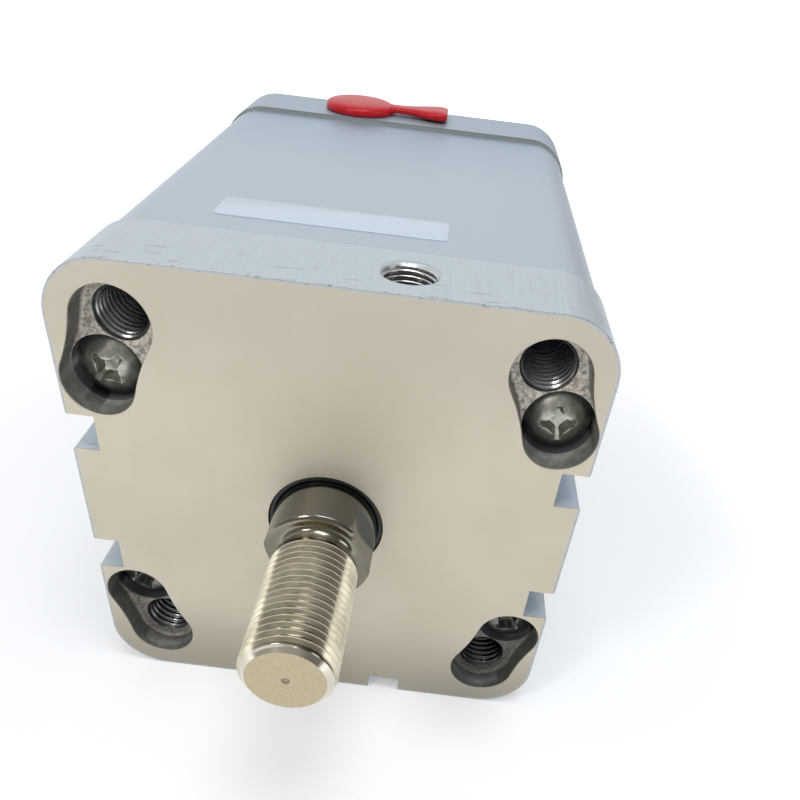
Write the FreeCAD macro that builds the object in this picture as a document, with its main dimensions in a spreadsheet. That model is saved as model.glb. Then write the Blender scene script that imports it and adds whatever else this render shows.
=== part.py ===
"""A double-acting compact pneumatic cylinder with a male rod thread.

The piston rod slides along X and comes out of the front cap towards +X.
The origin is on the rod's axis, in the front cap's mounting face.
The two ports look up, towards +Z, and the whole cylinder lies on its base.
"""
import FreeCAD, Part
import math
import os
import re
import Sketcher

doc = FreeCAD.newDocument("compact_cylinder")

# Driving sizes in millimetres, one for each thing that can be chosen by itself.
SIZES = {
    # body
    "bore_diameter": 80.0,
    "stroke": 80.0,
    "barrel_wall": 6.0,           # at its thinnest, between the bore and a side
    "barrel_setback": 1.0,        # the barrel's sides lie this far inside the caps' sides
    "barrel_corner": 9.0,         # radius of the barrel's long corners
    "cap_length": 19.0,           # each cap, along the rod
    "cap_corner": 11.0,           # radius of the caps' long corners
    "cap_edge": 0.2,              # bevel round a cap's outer face
    "end_gap": 0.3,               # piston to bumper at each end of the stroke
    "cut_margin": 5.0,            # how far a cut starts outside the surface
    # grooves along the sides and the base
    "slot_web": 0.6,              # between a corner pocket and the groove next to it
    "slot_width": 7.3,
    "slot_depth": 5.1,            # in the caps' two sides
    "base_slot_width": 6.9,
    "base_slot_depth": 3.8,       # in the caps' base
    "slot_edge": 0.5,             # rounding of the grooves' outer edges on the caps
    "track_mouth": 5.4,           # the barrel's grooves are T-slots for position switches
    "track_lip": 1.4,
    # corner pockets
    "mount_inset": 11.0,          # from the cap's sides to a mounting hole
    "mount_drill": 8.5,           # core of an M10 thread
    "mount_chamfer": 0.8,
    "pocket_depth": 5.0,
    "pocket_edge": 0.2,           # bevel round a pocket's mouth
    "mount_lobe": 6.8,            # the pocket is round about the mounting hole
    "waist_bend": 35.0,           # radius of its slightly hollow sides
    "screw_inset": 7.0,           # from the cap's side to a cap screw
    "screw_drop": 10.8,           # from the mounting hole down to the cap screw
    "screw_flange": 10.0,          # thickness of the cap under a screw's head
    # cap screws
    "screw_diameter": 6.0,
    "screw_length": 24.0,
    "screw_head": 12.0,
    "screw_head_height": 4.6,
    "screw_head_edge": 1.8,       # height of the head's upright edge, below its dome
    "head_room": 0.45,            # radial, round the head in its counterbore
    "screw_clearance": 0.3,       # round the shank in the caps
    "thread_gap": 0.05,           # round the shank in the barrel
    "recess_reach": 3.2,          # cross recess, from the middle to a wing's end
    "recess_wing": 1.4,           # width of a wing
    "recess_depth": 2.4,
    # ports
    "port_setback": 9.2,          # from the outer face to the port's axis
    "port_offset": 11.3,          # sideways from the middle plane
    "port_drill": 8.566,          # core of a G1/8 thread
    "port_depth": 8.5,
    "port_chamfer": 0.95,
    "feed_drill": 5.5,
    "feed_reach": 6.0,            # how far the feed hole runs into the air channel
    # inside of the caps
    "spigot_length": 1.5,         # the ring that centres a cap in the bore
    "spigot_gap": 0.1,
    "channel_room": 0.7,          # between the piston's bolt and the rear channel's floor
    "channel_inset": 12.0,        # from the bore in to the air channel
    "boss_wall": 3.1,             # round the rod's seal
    "gasket_land": 1.0,           # between the bore and the gasket
    "gasket_width": 1.8,
    "gasket_depth": 1.5,
    "bumper_inset": 4.0,          # from the bore in to the bumper
    "bumper_width": 5.0,
    "bumper_seat": 2.5,           # depth of its seat in the cap
    "bumper_proud": 0.5,
    # rod bearing, from the front face inwards
    "mouth_gap": 1.15,            # radial, from the rod to the opening in the front face
    "mouth_lip": 1.2,
    "wiper_height": 3.5,          # from the rod out to the wiper's seat
    "wiper_length": 3.5,
    "wiper_setback": 0.3,         # the wiper's lip lies this far behind the face
    "bearing_land": 1.0,          # web between two seats
    "land_gap": 0.6,              # radial, between a web and the rod
    "seal_height": 4.4,           # from the rod out to the seal's seat
    "seal_length": 4.0,
    "lip_notch": 1.0,             # half the width of the notch between a seal's lips
    "bush_wall": 1.6,
    "running_gap": 0.05,          # radial, of every sliding pair
    "seat_gap": 0.05,             # radial, of every ring in its seat
    # piston rod
    "rod_diameter": 20.0,
    "rod_standout": 10.0,         # full diameter beyond the front face, rod drawn in
    "thread_diameter": 16.0,
    "thread_length": 28.8,        # beyond the full diameter, with its relief
    "shoulder_run": 1.4,          # length of the cone behind the thread
    "thread_depth": 0.9,
    "relief_length": 1.6,
    "tip_chamfer": 1.5,
    "flats_depth": 1.5,           # wrench flats, 17 mm across
    "flats_length": 6.5,
    "flats_turn": 20.0,           # degrees about the rod, as it stands at rest
    "spigot_diameter": 14.0,      # the rod's inner end, in the piston
    # piston
    "rim_gap": 0.3,               # radial, between the piston's rim and the bore
    "rim_land": 1.0,              # between a seal groove and the piston's face
    "seal_groove": 2.8,           # length of a seal groove
    "seal_room": 5.5,             # from the bore in to the groove's floor
    "ring_land": 0.7,             # between a seal groove and the guide ring
    "wear_length": 2.4,
    "wear_room": 2.5,             # from the bore in to the guide ring's floor
    "magnet_cover": 1.1,          # between the seal grooves and the magnet
    "magnet_width": 6.4,
    "ring_gap": 0.1,              # round each loose ring in its groove
    "hub_radius": 13.0,
    "hub_length": 1.5,
    "washer_radius": 12.0,
    "washer_thickness": 2.5,
    "clamp_gap": 0.2,             # rod's inner end to washer, so that the washer clamps the piston
    "bolt_diameter": 8.0,
    "bolt_length": 22.0,
    "bolt_tip_gap": 1.0,
    "bolt_head": 13.0,
    "bolt_socket": 6.0,           # hexagon socket, across flats
    "bolt_socket_depth": 4.0,
    "cord_thickness": 1.8,        # of the O-ring on the rod's inner end
    "cord_squeeze": 0.72,         # share of it that is left when it is squeezed
    # transport plug in the rear port
    "plug_disc": 18.8,
    "plug_height": 2.8,
    "plug_edge": 1.3,             # height of the disc's upright edge
    "plug_dome": 24.0,            # radius of its domed top
    "plug_stem_gap": 0.07,
    "plug_stem_length": 6.5,
    "plug_bore": 5.6,             # the stem is hollow
    "plug_floor": 1.2,
    "tab_lift": 0.4,              # the pull tab hangs this far above the cap
    "tab_reach": 24.4,            # from the plug's axis to the tab's end
    "tab_waist": 5.0,
    "tab_width": 10.6,
    "tab_thickness": 2.1,
    "tab_flare": 22.0,            # radius of the tab's hollow sides
    "tab_corner": 3.6,            # radius of its outer corners
    "tab_round": 12.0,            # radius of its end
}

# Sizes that follow from the driving ones.
FORMULAS = {
    "bore_radius": "bore_diameter / 2",
    "half_barrel": "bore_radius + barrel_wall",
    "half_envelope": "half_barrel + barrel_setback",
    "piston_length": "wear_length + 2 * (ring_land + seal_groove + rim_land)",
    "barrel_length": "stroke + piston_length + 2 * (spigot_length + bumper_proud + end_gap)",
    "body_length": "barrel_length + 2 * cap_length",
    "slot_floor": "half_envelope - slot_depth",
    "base_slot_floor": "half_envelope - base_slot_depth",
    "mount_place": "half_envelope - mount_inset",
    "shank_radius": "screw_diameter / 2",
    "head_radius": "screw_head / 2",
    "head_rise": "screw_head_height - screw_head_edge",
    "screw_lobe": "head_radius + head_room",
    "screw_across": "half_envelope - screw_inset",
    "screw_up": "mount_place - screw_drop",
    "slot_centre": "screw_up - screw_lobe - slot_web - slot_width / 2",
    "counterbore_depth": "cap_length - screw_flange",
    "spigot_face": "cap_length + spigot_length",
    "bolt_stack": "hub_length + washer_thickness + bolt_diameter",
    "channel_wall": "spigot_face - bumper_proud - end_gap - bolt_stack - channel_room",
    "gasket_inner": "bore_radius + gasket_land",
    "gasket_outer": "gasket_inner + gasket_width",
    "bumper_outer": "bore_radius - bumper_inset",
    "bumper_inner": "bumper_outer - bumper_width",
    "channel_outer": "bore_radius - channel_inset",
    "feed_floor": "channel_outer - feed_reach",
    "rod_radius": "rod_diameter / 2",
    "rod_way": "rod_radius + land_gap",
    "mouth_radius": "rod_radius + mouth_gap",
    "wiper_seat": "rod_radius + wiper_height",
    "wiper_end": "mouth_lip + wiper_length",
    "seal_seat": "rod_radius + seal_height",
    "seal_start": "wiper_end + bearing_land",
    "seal_end": "seal_start + seal_length",
    "boss_radius": "seal_seat + boss_wall",
    "bush_start": "seal_end + bearing_land",
    "bush_outer": "rod_radius + running_gap + bush_wall",
    "piston_front": "cap_length + spigot_length + bumper_proud + end_gap + stroke",
    "half_piston": "piston_length / 2",
    "piston_middle": "piston_front + half_piston",
    "piston_rear": "piston_front + piston_length",
    "rim_radius": "bore_radius - rim_gap",
    "ring_radius": "bore_radius - running_gap",
    "seal_floor": "bore_radius - seal_room",
    "wear_floor": "bore_radius - wear_room",
    "magnet_outer": "seal_floor - magnet_cover",
    "magnet_inner": "magnet_outer - magnet_width",
    "rod_tip": "rod_standout + thread_length",
    "hub_end": "piston_rear + hub_length",
    "bolt_end": "hub_end + washer_thickness",
}


def spelled_out(formula):
    """A formula with its named sizes replaced by the cells of the sheet."""
    def replace(word):
        name = word.group(0)
        if name in FORMULAS:
            return "(" + spelled_out(FORMULAS[name]) + ")"
        return "sizes." + name if name in SIZES else name
    return re.sub(r"[a-z_]+", replace, formula)


sheet = doc.addObject("Spreadsheet::Sheet", "sizes")
for row, (size_name, size_value) in enumerate(SIZES.items(), start=1):
    sheet.set(f"A{row}", size_name)
    sheet.set(f"B{row}", str(size_value))
    sheet.setAlias(f"B{row}", size_name)
doc.recompute()


def number(formula):
    """What a formula comes to, in millimetres."""
    return float(sheet.evalExpression(spelled_out(formula)))


def bind(thing, properties):
    """Ties properties of a document object to formulas."""
    for name, formula in properties.items():
        thing.setExpression(name, spelled_out(formula))


# Sketches

def new_sketch(body, name, plane, height="0"):
    """A sketch on one of the body's own origin planes, moved along its normal by height."""
    sketch = body.newObject("Sketcher::SketchObject", name)
    role = plane + "_Plane"
    support = [feature for feature in body.Origin.OriginFeatures if feature.Role == role][0]
    sketch.AttachmentSupport = [(support, "")]
    sketch.MapMode = "FlatFace"
    if height != "0":
        bind(sketch, {"AttachmentOffset.Base.z": height})
    return sketch


def hold(sketch, edge, end, across, up):
    """Holds a point of the sketch at two distances from the sketch's origin."""
    for kind, axis, formula in (("DistanceX", -2, across), ("DistanceY", -1, up)):
        if formula == "0":
            sketch.addConstraint(Sketcher.Constraint("PointOnObject", edge, end, axis))
        else:
            distance = Sketcher.Constraint(kind, -1, 1, edge, end, number(formula))
            place = sketch.addConstraint(distance)
            bind(sketch, {f"Constraints[{place}]": formula})


def hold_radius(sketch, edge, radius):
    place = sketch.addConstraint(Sketcher.Constraint("Radius", edge, number(radius)))
    bind(sketch, {f"Constraints[{place}]": radius})


def ends_that_touch(sketch, one, other):
    """The ends at which two edges of a sketch already meet."""
    near = 1e-4
    for one_end in (1, 2):
        for other_end in (1, 2):
            gap = sketch.getPoint(one, one_end) - sketch.getPoint(other, other_end)
            if gap.Length < near:
                return one_end, other_end
    raise ValueError("two edges of an outline don't meet")


def join(sketch, kind, edges):
    """Joins each edge of a closed outline to the next one."""
    for one, other in zip(edges, edges[1:] + edges[:1]):
        one_end, other_end = ends_that_touch(sketch, one, other)
        sketch.addConstraint(Sketcher.Constraint(kind, one, one_end, other, other_end))


def point(across, up):
    return FreeCAD.Vector(number(across), number(up), 0)


def arc_through(start, finish, radius, centre_on_left):
    """An arc from start to finish, the shorter way round."""
    chord = finish - start
    height = math.sqrt(radius ** 2 - (chord.Length / 2) ** 2)
    left = FreeCAD.Vector(-chord.y, chord.x, 0).normalize()
    centre = (start + finish) / 2 + left * (height if centre_on_left else -height)
    towards = ((start + finish) / 2 - centre).normalize()
    return Part.Arc(start, centre + towards * radius, finish)


def draw_outline(sketch, corners, arcs=None):
    """Draws a closed outline through corners, each a pair of formulas.

    arcs maps an edge's number to its radius and to whether its centre lies on the left.
    """
    places = [point(*corner) for corner in corners]
    edges = []
    for index, place in enumerate(places):
        following = places[(index + 1) % len(places)]
        if arcs and index in arcs:
            radius, centre_on_left = arcs[index]
            shape = arc_through(place, following, number(radius), centre_on_left)
        else:
            shape = Part.LineSegment(place, following)
        edges.append(sketch.addGeometry(shape))
    join(sketch, "Coincident", edges)
    for edge, corner in zip(edges, corners):
        near_start = (sketch.getPoint(edge, 1) - point(*corner)).Length < 1e-4
        hold(sketch, edge, 1 if near_start else 2, *corner)
    for index, (radius, _) in (arcs or {}).items():
        hold_radius(sketch, edges[index], radius)


def draw_circle(sketch, across, up, radius):
    circle = Part.Circle(point(across, up), FreeCAD.Vector(0, 0, 1), number(radius))
    edge = sketch.addGeometry(circle)
    hold(sketch, edge, 3, across, up)
    hold_radius(sketch, edge, radius)


def draw_box(sketch, left, right, low, high):
    draw_outline(sketch, [(left, low), (right, low), (right, high), (left, high)])


def draw_rounded_square(sketch, half, corner):
    """A square about the origin whose corners are arcs."""
    centre = f"({half} - {corner})"
    reach, middle, radius = number(half), number(centre), number(corner)
    edges, arcs = [], []
    for turn in range(4):
        # one side, then the arc that follows it, going round anticlockwise
        spin = FreeCAD.Rotation(FreeCAD.Vector(0, 0, 1), 90 * turn)
        side = Part.LineSegment(
            spin.multVec(FreeCAD.Vector(reach, -middle, 0)),
            spin.multVec(FreeCAD.Vector(reach, middle, 0)))
        edges.append(sketch.addGeometry(side))
        round_centre = spin.multVec(FreeCAD.Vector(middle, middle, 0))
        circle = Part.Circle(round_centre, FreeCAD.Vector(0, 0, 1), radius)
        quarter = Part.ArcOfCircle(circle, math.radians(90 * turn), math.radians(90 * turn + 90))
        edges.append(sketch.addGeometry(quarter))
        arcs.append((edges[-1], round_centre))
    join(sketch, "Tangent", edges)
    for edge, round_centre in arcs:
        across = centre if round_centre.x > 0 else f"-{centre}"
        up = centre if round_centre.y > 0 else f"-{centre}"
        hold(sketch, edge, 3, across, up)
        hold_radius(sketch, edge, corner)


def draw_two_lobes(sketch, one, one_radius, other, other_radius, bend):
    """Two round lobes whose sides run into each other in slightly hollow arcs."""
    centres = [point(*one), point(*other)]
    radii = [number(one_radius), number(other_radius)]
    side_radius = number(bend)
    apart = centres[1] - centres[0]
    along = FreeCAD.Vector(apart).normalize()
    across = FreeCAD.Vector(-along.y, along.x, 0)
    # each hollow arc touches both lobes from outside
    reach = [radius + side_radius for radius in radii]
    step = (apart.Length ** 2 + reach[0] ** 2 - reach[1] ** 2) / (2 * apart.Length)
    aside = math.sqrt(reach[0] ** 2 - step ** 2)
    hollows = [centres[0] + along * step + across * aside * side for side in (1, -1)]
    touch = [[centre + (hollow - centre).normalize() * radius for hollow in hollows]
             for centre, radius in zip(centres, radii)]
    lobes = [
        Part.Arc(touch[0][0], centres[0] - along * radii[0], touch[0][1]),
        Part.Arc(touch[1][0], centres[1] + along * radii[1], touch[1][1])]
    sides = [arc_through(touch[0][k], touch[1][k], side_radius, k == 0) for k in (0, 1)]
    edges = [sketch.addGeometry(shape) for shape in (lobes[0], sides[1], lobes[1], sides[0])]
    join(sketch, "Tangent", edges)
    for edge, centre, radius in ((edges[0], one, one_radius), (edges[2], other, other_radius)):
        hold(sketch, edge, 3, *centre)
        hold_radius(sketch, edge, radius)
    for edge in (edges[1], edges[3]):
        hold_radius(sketch, edge, bend)


# Features

def new_body(label):
    body = doc.addObject("PartDesign::Body", label)
    body.Label = label
    return body


def finished(body, feature, cuts=False):
    """Recomputes a feature and makes sure that it changed the piece the way it should."""
    before = 0.0
    if feature.BaseFeature is not None:
        before = feature.BaseFeature.Shape.Volume
    doc.recompute()
    change = feature.Shape.Volume - before
    if cuts and change > -1e-3 or not cuts and change < 1e-3:
        raise ValueError(f"{body.Label}: {feature.Name} changes nothing")
    return feature


def pad(body, name, sketch, length, backwards=False):
    feature = body.newObject("PartDesign::Pad", name)
    feature.Profile = sketch
    feature.Reversed = backwards
    bind(feature, {"Length": length})
    return finished(body, feature)


def pocket(body, name, sketch, depth=None, both_ways=False):
    """Cuts a sketch out of the piece, through all of it when no depth is given."""
    feature = body.newObject("PartDesign::Pocket", name)
    feature.Profile = sketch
    if depth is None:
        feature.Type = "ThroughAll"
        feature.Midplane = both_ways
    else:
        bind(feature, {"Length": depth})
    return finished(body, feature, cuts=True)


def turn_about(body, name, sketch, axis="H_Axis"):
    feature = body.newObject("PartDesign::Revolution", name)
    feature.Profile = sketch
    feature.ReferenceAxis = (sketch, [axis])
    feature.Angle = 360
    return finished(body, feature)


def groove_about(body, name, corners):
    """Turns a recess into the piece, about the rod's axis."""
    sketch = new_sketch(body, name + "_outline", "XY")
    draw_outline(sketch, corners)
    feature = body.newObject("PartDesign::Groove", name)
    feature.Profile = sketch
    feature.ReferenceAxis = (sketch, ["H_Axis"])
    feature.Angle = 360
    return finished(body, feature, cuts=True)


def dress_edges(body, kind, name, test, size_name):
    """Rounds or bevels the edges that pass a test."""
    base = body.Tip
    chosen = [f"Edge{k}" for k, edge in enumerate(base.Shape.Edges, start=1) if test(edge)]
    feature = body.newObject("PartDesign::" + kind, name)
    feature.Base = (base, chosen)
    bind(feature, {"Radius" if kind == "Fillet" else "Size": size_name})
    return finished(body, feature, cuts=True)


def mirrored_to_corners(body, name, features):
    """Repeats features in all four corners of the section."""
    repeat = body.newObject("PartDesign::MultiTransform", name)
    repeat.Originals = features
    planes = {feature.Role: feature for feature in body.Origin.OriginFeatures}
    steps = []
    for role in ("XZ_Plane", "XY_Plane"):
        step = body.newObject("PartDesign::Mirrored", f"{name}_{role[:2]}")
        step.MirrorPlane = (planes[role], [""])
        steps.append(step)
    repeat.Transformations = steps
    doc.recompute()
    body.Tip = repeat
    return finished(body, repeat, cuts=True)


def stand_at(piece, end, across="0", up="0"):
    """Stands a piece at the front end, or turned round at the rear end."""
    if end == "front":
        bind(piece, {"Placement.Base.y": across, "Placement.Base.z": up})
    else:
        piece.Placement = FreeCAD.Placement(
            FreeCAD.Vector(0, 0, 0), FreeCAD.Rotation(FreeCAD.Vector(0, 0, 1), 180))
        bind(piece, {
            "Placement.Base.x": "-body_length",
            "Placement.Base.y": f"-({across})",
            "Placement.Base.z": up})


def turned(label, corners, arcs=None):
    """A piece turned about the rod's axis, from half of its section."""
    body = new_body(label)
    sketch = new_sketch(body, label + "_section", "XY")
    draw_outline(sketch, corners, arcs)
    turn_about(body, label + "_turned", sketch)
    return body


def ring(label, start, finish, inner, outer):
    """A plain ring between two places on the rod's axis, behind the front face."""
    return turned(label, [
        (f"-({finish})", inner), (f"-({start})", inner),
        (f"-({start})", outer), (f"-({finish})", outer)])


ALONG_ROD = FreeCAD.Vector(1, 0, 0)
UPRIGHT = FreeCAD.Vector(0, 0, 1)


def is_rim(edge, axis, place, radius=None):
    """Whether an edge is a whole circle about an axis, at a place along it."""
    curve = edge.Curve
    if not isinstance(curve, Part.Circle) or not edge.isClosed():
        return False
    right_size = radius is None or abs(curve.Radius - number(radius)) < 1e-4
    return (right_size and abs(curve.Axis.dot(axis)) > 0.999
            and abs(curve.Center.dot(axis) - number(place)) < 1e-4)


# Caps: one casting for both ends, bored for the rod only at the front.

def is_slot_edge(edge):
    """The long outer edges of the grooves in a cap's sides and base."""
    first, last = edge.firstVertex().Point, edge.lastVertex().Point
    if (last - first).cross(ALONG_ROD).Length > 1e-4 or (last - first).Length < 1e-4:
        return False
    half = number("half_envelope")
    side_edges = [number(f"slot_centre + slot_width / 2 * {side}") for side in (-1, 1)]
    base_edges = [number(f"slot_centre + base_slot_width / 2 * {side}") for side in (-1, 1)]
    on_side = abs(abs(first.y) - half) < 1e-4
    on_base = abs(first.z + half) < 1e-4
    return (on_side and min(abs(abs(first.z) - place) for place in side_edges) < 1e-4
            or on_base and min(abs(abs(first.y) - place) for place in base_edges) < 1e-4)


def lies_in_face(edge):
    """Whether an edge lies in the cap's outer face."""
    return all(abs(vertex.Point.x) < 1e-4 for vertex in edge.Vertexes)


def is_pocket_rim(edge):
    """The arcs round a corner pocket's mouth."""
    if not isinstance(edge.Curve, Part.Circle) or not lies_in_face(edge):
        return False
    radii = [number(size) for size in ("mount_lobe", "screw_lobe", "waist_bend")]
    return min(abs(edge.Curve.Radius - radius) for radius in radii) < 1e-4


def cut_side_slots(body):
    sides = new_sketch(body, "side_slots_outline", "YZ")
    for side in (-1, 1):
        for level in (-1, 1):
            draw_box(
                sides, f"{side} * slot_floor", f"{side} * (half_envelope + cut_margin)",
                f"{level} * slot_centre - slot_width / 2",
                f"{level} * slot_centre + slot_width / 2")
    pocket(body, "side_slots", sides)
    base = new_sketch(body, "base_slots_outline", "YZ")
    for side in (-1, 1):
        draw_box(
            base, f"{side} * slot_centre - base_slot_width / 2",
            f"{side} * slot_centre + base_slot_width / 2",
            "-(half_envelope + cut_margin)", "-base_slot_floor")
    pocket(body, "base_slots", base)
    dress_edges(body, "Fillet", "slot_edges", is_slot_edge, "slot_edge")


def cut_corner_pockets(body):
    mount, screw = ("mount_place", "mount_place"), ("screw_across", "screw_up")
    outline = new_sketch(body, "pocket_outline", "YZ")
    draw_two_lobes(outline, mount, "mount_lobe", screw, "screw_lobe", "waist_bend")
    steps = [pocket(body, "corner_pocket", outline, "pocket_depth")]
    for name, place, radius, depth in (
            ("counterbore", screw, "screw_lobe", "counterbore_depth"),
            ("screw_passage", screw, "shank_radius + screw_clearance", None),
            ("mounting_thread", mount, "mount_drill / 2", None)):
        circle = new_sketch(body, name + "_outline", "YZ")
        draw_circle(circle, *place, radius)
        steps.append(pocket(body, name, circle, depth))
    mirrored_to_corners(body, "corners", steps)
    dress_edges(body, "Chamfer", "pocket_edges", is_pocket_rim, "pocket_edge")
    dress_edges(
        body, "Chamfer", "thread_mouths",
        lambda edge: is_rim(edge, ALONG_ROD, "-pocket_depth", "mount_drill / 2"), "mount_chamfer")


def cut_port(body):
    for name, radius, depth in (
            ("port_thread", "port_drill / 2", "port_depth"),
            ("air_feed", "feed_drill / 2", "half_envelope - feed_floor")):
        sketch = new_sketch(body, name + "_outline", "XY", "half_envelope")
        draw_circle(sketch, "-port_setback", "port_offset", radius)
        pocket(body, name, sketch, depth)
    dress_edges(
        body, "Chamfer", "port_mouth",
        lambda edge: is_rim(edge, UPRIGHT, "half_envelope", "port_drill / 2"), "port_chamfer")


def bore_for_rod(body):
    """The opening in the face, then the seats of the wiper, the seal and the bush."""
    groove_about(body, "rod_bearing", [
        ("cut_margin", "0"), ("cut_margin", "mouth_radius"),
        ("-mouth_lip", "mouth_radius"), ("-mouth_lip", "wiper_seat"),
        ("-wiper_end", "wiper_seat"), ("-wiper_end", "rod_way"),
        ("-seal_start", "rod_way"), ("-seal_start", "seal_seat"),
        ("-seal_end", "seal_seat"), ("-seal_end", "rod_way"),
        ("-bush_start", "rod_way"), ("-bush_start", "bush_outer"),
        ("-(spigot_face + cut_margin)", "bush_outer"), ("-(spigot_face + cut_margin)", "0")])


def make_cap(label, end):
    body = new_body(label)
    face = new_sketch(body, "face_outline", "YZ")
    draw_rounded_square(face, "half_envelope", "cap_corner")
    pad(body, "casting", face, "cap_length", backwards=True)
    dress_edges(body, "Chamfer", "face_edges", lies_in_face, "cap_edge")
    register = new_sketch(body, "spigot_outline", "YZ", "-cap_length")
    draw_circle(register, "0", "0", "bore_radius - spigot_gap")
    pad(body, "spigot", register, "spigot_length", backwards=True)
    cut_side_slots(body)
    inner = "boss_radius" if end == "front" else "0"
    groove_about(body, "air_channel", [
        ("-spigot_face", inner), ("-channel_wall", inner),
        ("-channel_wall", "channel_outer"), ("-spigot_face", "channel_outer")])
    groove_about(body, "gasket_seat", [
        ("-cap_length", "gasket_inner"), ("-(cap_length - gasket_depth)", "gasket_inner"),
        ("-(cap_length - gasket_depth)", "gasket_outer"), ("-cap_length", "gasket_outer")])
    groove_about(body, "bumper_recess", [
        ("-spigot_face", "bumper_inner"), ("-(spigot_face - bumper_seat)", "bumper_inner"),
        ("-(spigot_face - bumper_seat)", "bumper_outer"), ("-spigot_face", "bumper_outer")])
    cut_corner_pockets(body)
    cut_port(body)
    if end == "front":
        bore_for_rod(body)
    stand_at(body, end)
    return body


# Barrel: an extruded profile with the bore, screw holes, bolt passages and switch tracks.

def track_corners(level, side):
    """The T-shaped section of one switch track, open to the side given."""
    mouth, inside = "track_mouth / 2", "slot_width / 2"
    outside, lip, floor = "(half_barrel + cut_margin)", "(half_barrel - track_lip)", "slot_floor"
    middle = f"{level} * slot_centre"
    steps = [
        (outside, f"-{mouth}"), (lip, f"-{mouth}"), (lip, f"-{inside}"), (floor, f"-{inside}"),
        (floor, inside), (lip, inside), (lip, mouth), (outside, mouth)]
    if side == "base":
        return [(f"{middle} + {along}", f"-{depth}") for depth, along in steps]
    return [(f"{side} * {depth}", f"{middle} + {along}") for depth, along in steps]


def make_barrel():
    body = new_body("barrel")
    section = new_sketch(body, "barrel_section", "YZ", "-cap_length")
    draw_rounded_square(section, "half_barrel", "barrel_corner")
    draw_circle(section, "0", "0", "bore_radius")
    for side in (-1, 1):
        for level in (-1, 1):
            draw_circle(
                section, f"{side} * mount_place", f"{level} * mount_place", "mount_drill / 2")
            draw_circle(
                section, f"{side} * screw_across", f"{level} * screw_up",
                "shank_radius + thread_gap")
    pad(body, "extrusion", section, "barrel_length", backwards=True)
    tracks = new_sketch(body, "track_sections", "YZ")
    for level in (-1, 1):
        for side in (-1, 1, "base"):
            draw_outline(tracks, track_corners(level, side))
    pocket(body, "switch_tracks", tracks)
    return body


# Screws, gaskets and bumpers, the same at both ends.

def make_cap_screws(label, end):
    """One pan-head screw with a cross recess, repeated in the four corners."""
    seat, shank, head = "counterbore_depth", "shank_radius", "head_radius"
    crown = f"({seat} - screw_head_height)"
    dome = "((head_radius ^ 2 + head_rise ^ 2) / (2 * head_rise))"
    screw = turned(label + "_master", [
        (f"-({seat} + screw_length)", "0"), (f"-({seat} + screw_length)", f"{shank} * 0.8"),
        (f"-({seat} + screw_length - {shank} * 0.2)", shank), (f"-{seat}", shank),
        (f"-{seat}", head), (f"-({seat} - screw_head_edge)", head), (f"-{crown}", "0")],
        {5: (dome, False)})
    recess = new_sketch(screw, "recess_outline", "YZ", f"-{crown}")
    wing, reach = "recess_wing / 2", "recess_reach"
    quarter = [(reach, wing), (wing, wing), (wing, reach)]
    corners = []
    for signs in ((1, 1), (-1, 1), (-1, -1), (1, -1)):
        step = [(f"{signs[0]} * {a}", f"{signs[1]} * {b}") for a, b in quarter]
        corners += step if signs[0] * signs[1] > 0 else step[::-1]
    draw_outline(recess, corners)
    pocket(screw, "cross_recess", recess, "recess_depth")
    stand_at(screw, end, "screw_across", "screw_up")
    pieces = [screw]
    for step, normal in enumerate((FreeCAD.Vector(0, 1, 0), UPRIGHT)):
        group = doc.addObject("Part::Compound", f"{label}_row_{step}")
        group.Links = pieces
        mirrored = doc.addObject("Part::Mirroring", f"{label}_mirror_{step}")
        mirrored.Source = group
        mirrored.Normal = normal
        pieces = [group, mirrored]
    screws = doc.addObject("Part::Compound", label)
    screws.Label = label
    screws.Links = pieces
    return screws


def make_gasket(label, end):
    gasket = ring(label, "cap_length - gasket_depth", "cap_length",
                  "gasket_inner + seat_gap", "gasket_outer - seat_gap")
    stand_at(gasket, end)
    return gasket


def make_bumper(label, end):
    bumper = ring(label, "spigot_face - bumper_seat", "spigot_face + bumper_proud",
                  "bumper_inner + seat_gap", "bumper_outer - seat_gap")
    dress_edges(
        bumper, "Chamfer", "bumper_edges",
        lambda edge: is_rim(edge, ALONG_ROD, "-(spigot_face + bumper_proud)"), "bumper_proud")
    stand_at(bumper, end)
    return bumper


# Rod bearing

def make_bush():
    return ring("rod_bush", "bush_start", "spigot_face",
                "rod_radius + running_gap", "bush_outer - seat_gap / 2")


def make_wiper():
    """A lip that scrapes the rod, just behind the front face, on a foot in its seat."""
    lip, foot = "(rod_radius + running_gap)", "(wiper_seat - seat_gap)"
    mouth = "(mouth_radius - seat_gap)"
    return turned("rod_wiper", [
        ("-wiper_end", "rod_way + seat_gap"), ("-(mouth_lip + bearing_land)", "rod_way"),
        ("-wiper_setback", lip), ("-wiper_setback", mouth), ("-mouth_lip", mouth),
        ("-mouth_lip", foot), ("-wiper_end", foot)])


def make_rod_seal():
    """A U-shaped ring whose lips open towards the pressure, with the mouth inwards."""
    inner, outer = "(rod_radius + running_gap)", "(seal_seat - seat_gap)"
    middle, lips = "(rod_radius + seal_seat) / 2", "(seal_length * 0.5)"
    return turned("rod_seal", [
        ("-seal_start", "rod_way"), (f"-(seal_end - {lips})", "rod_way"), ("-seal_end", inner),
        ("-seal_end", f"{middle} - lip_notch"), (f"-(seal_end - {lips})", middle),
        ("-seal_end", f"{middle} + lip_notch"), ("-seal_end", outer), ("-seal_start", outer)])


# Piston and rod

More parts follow.
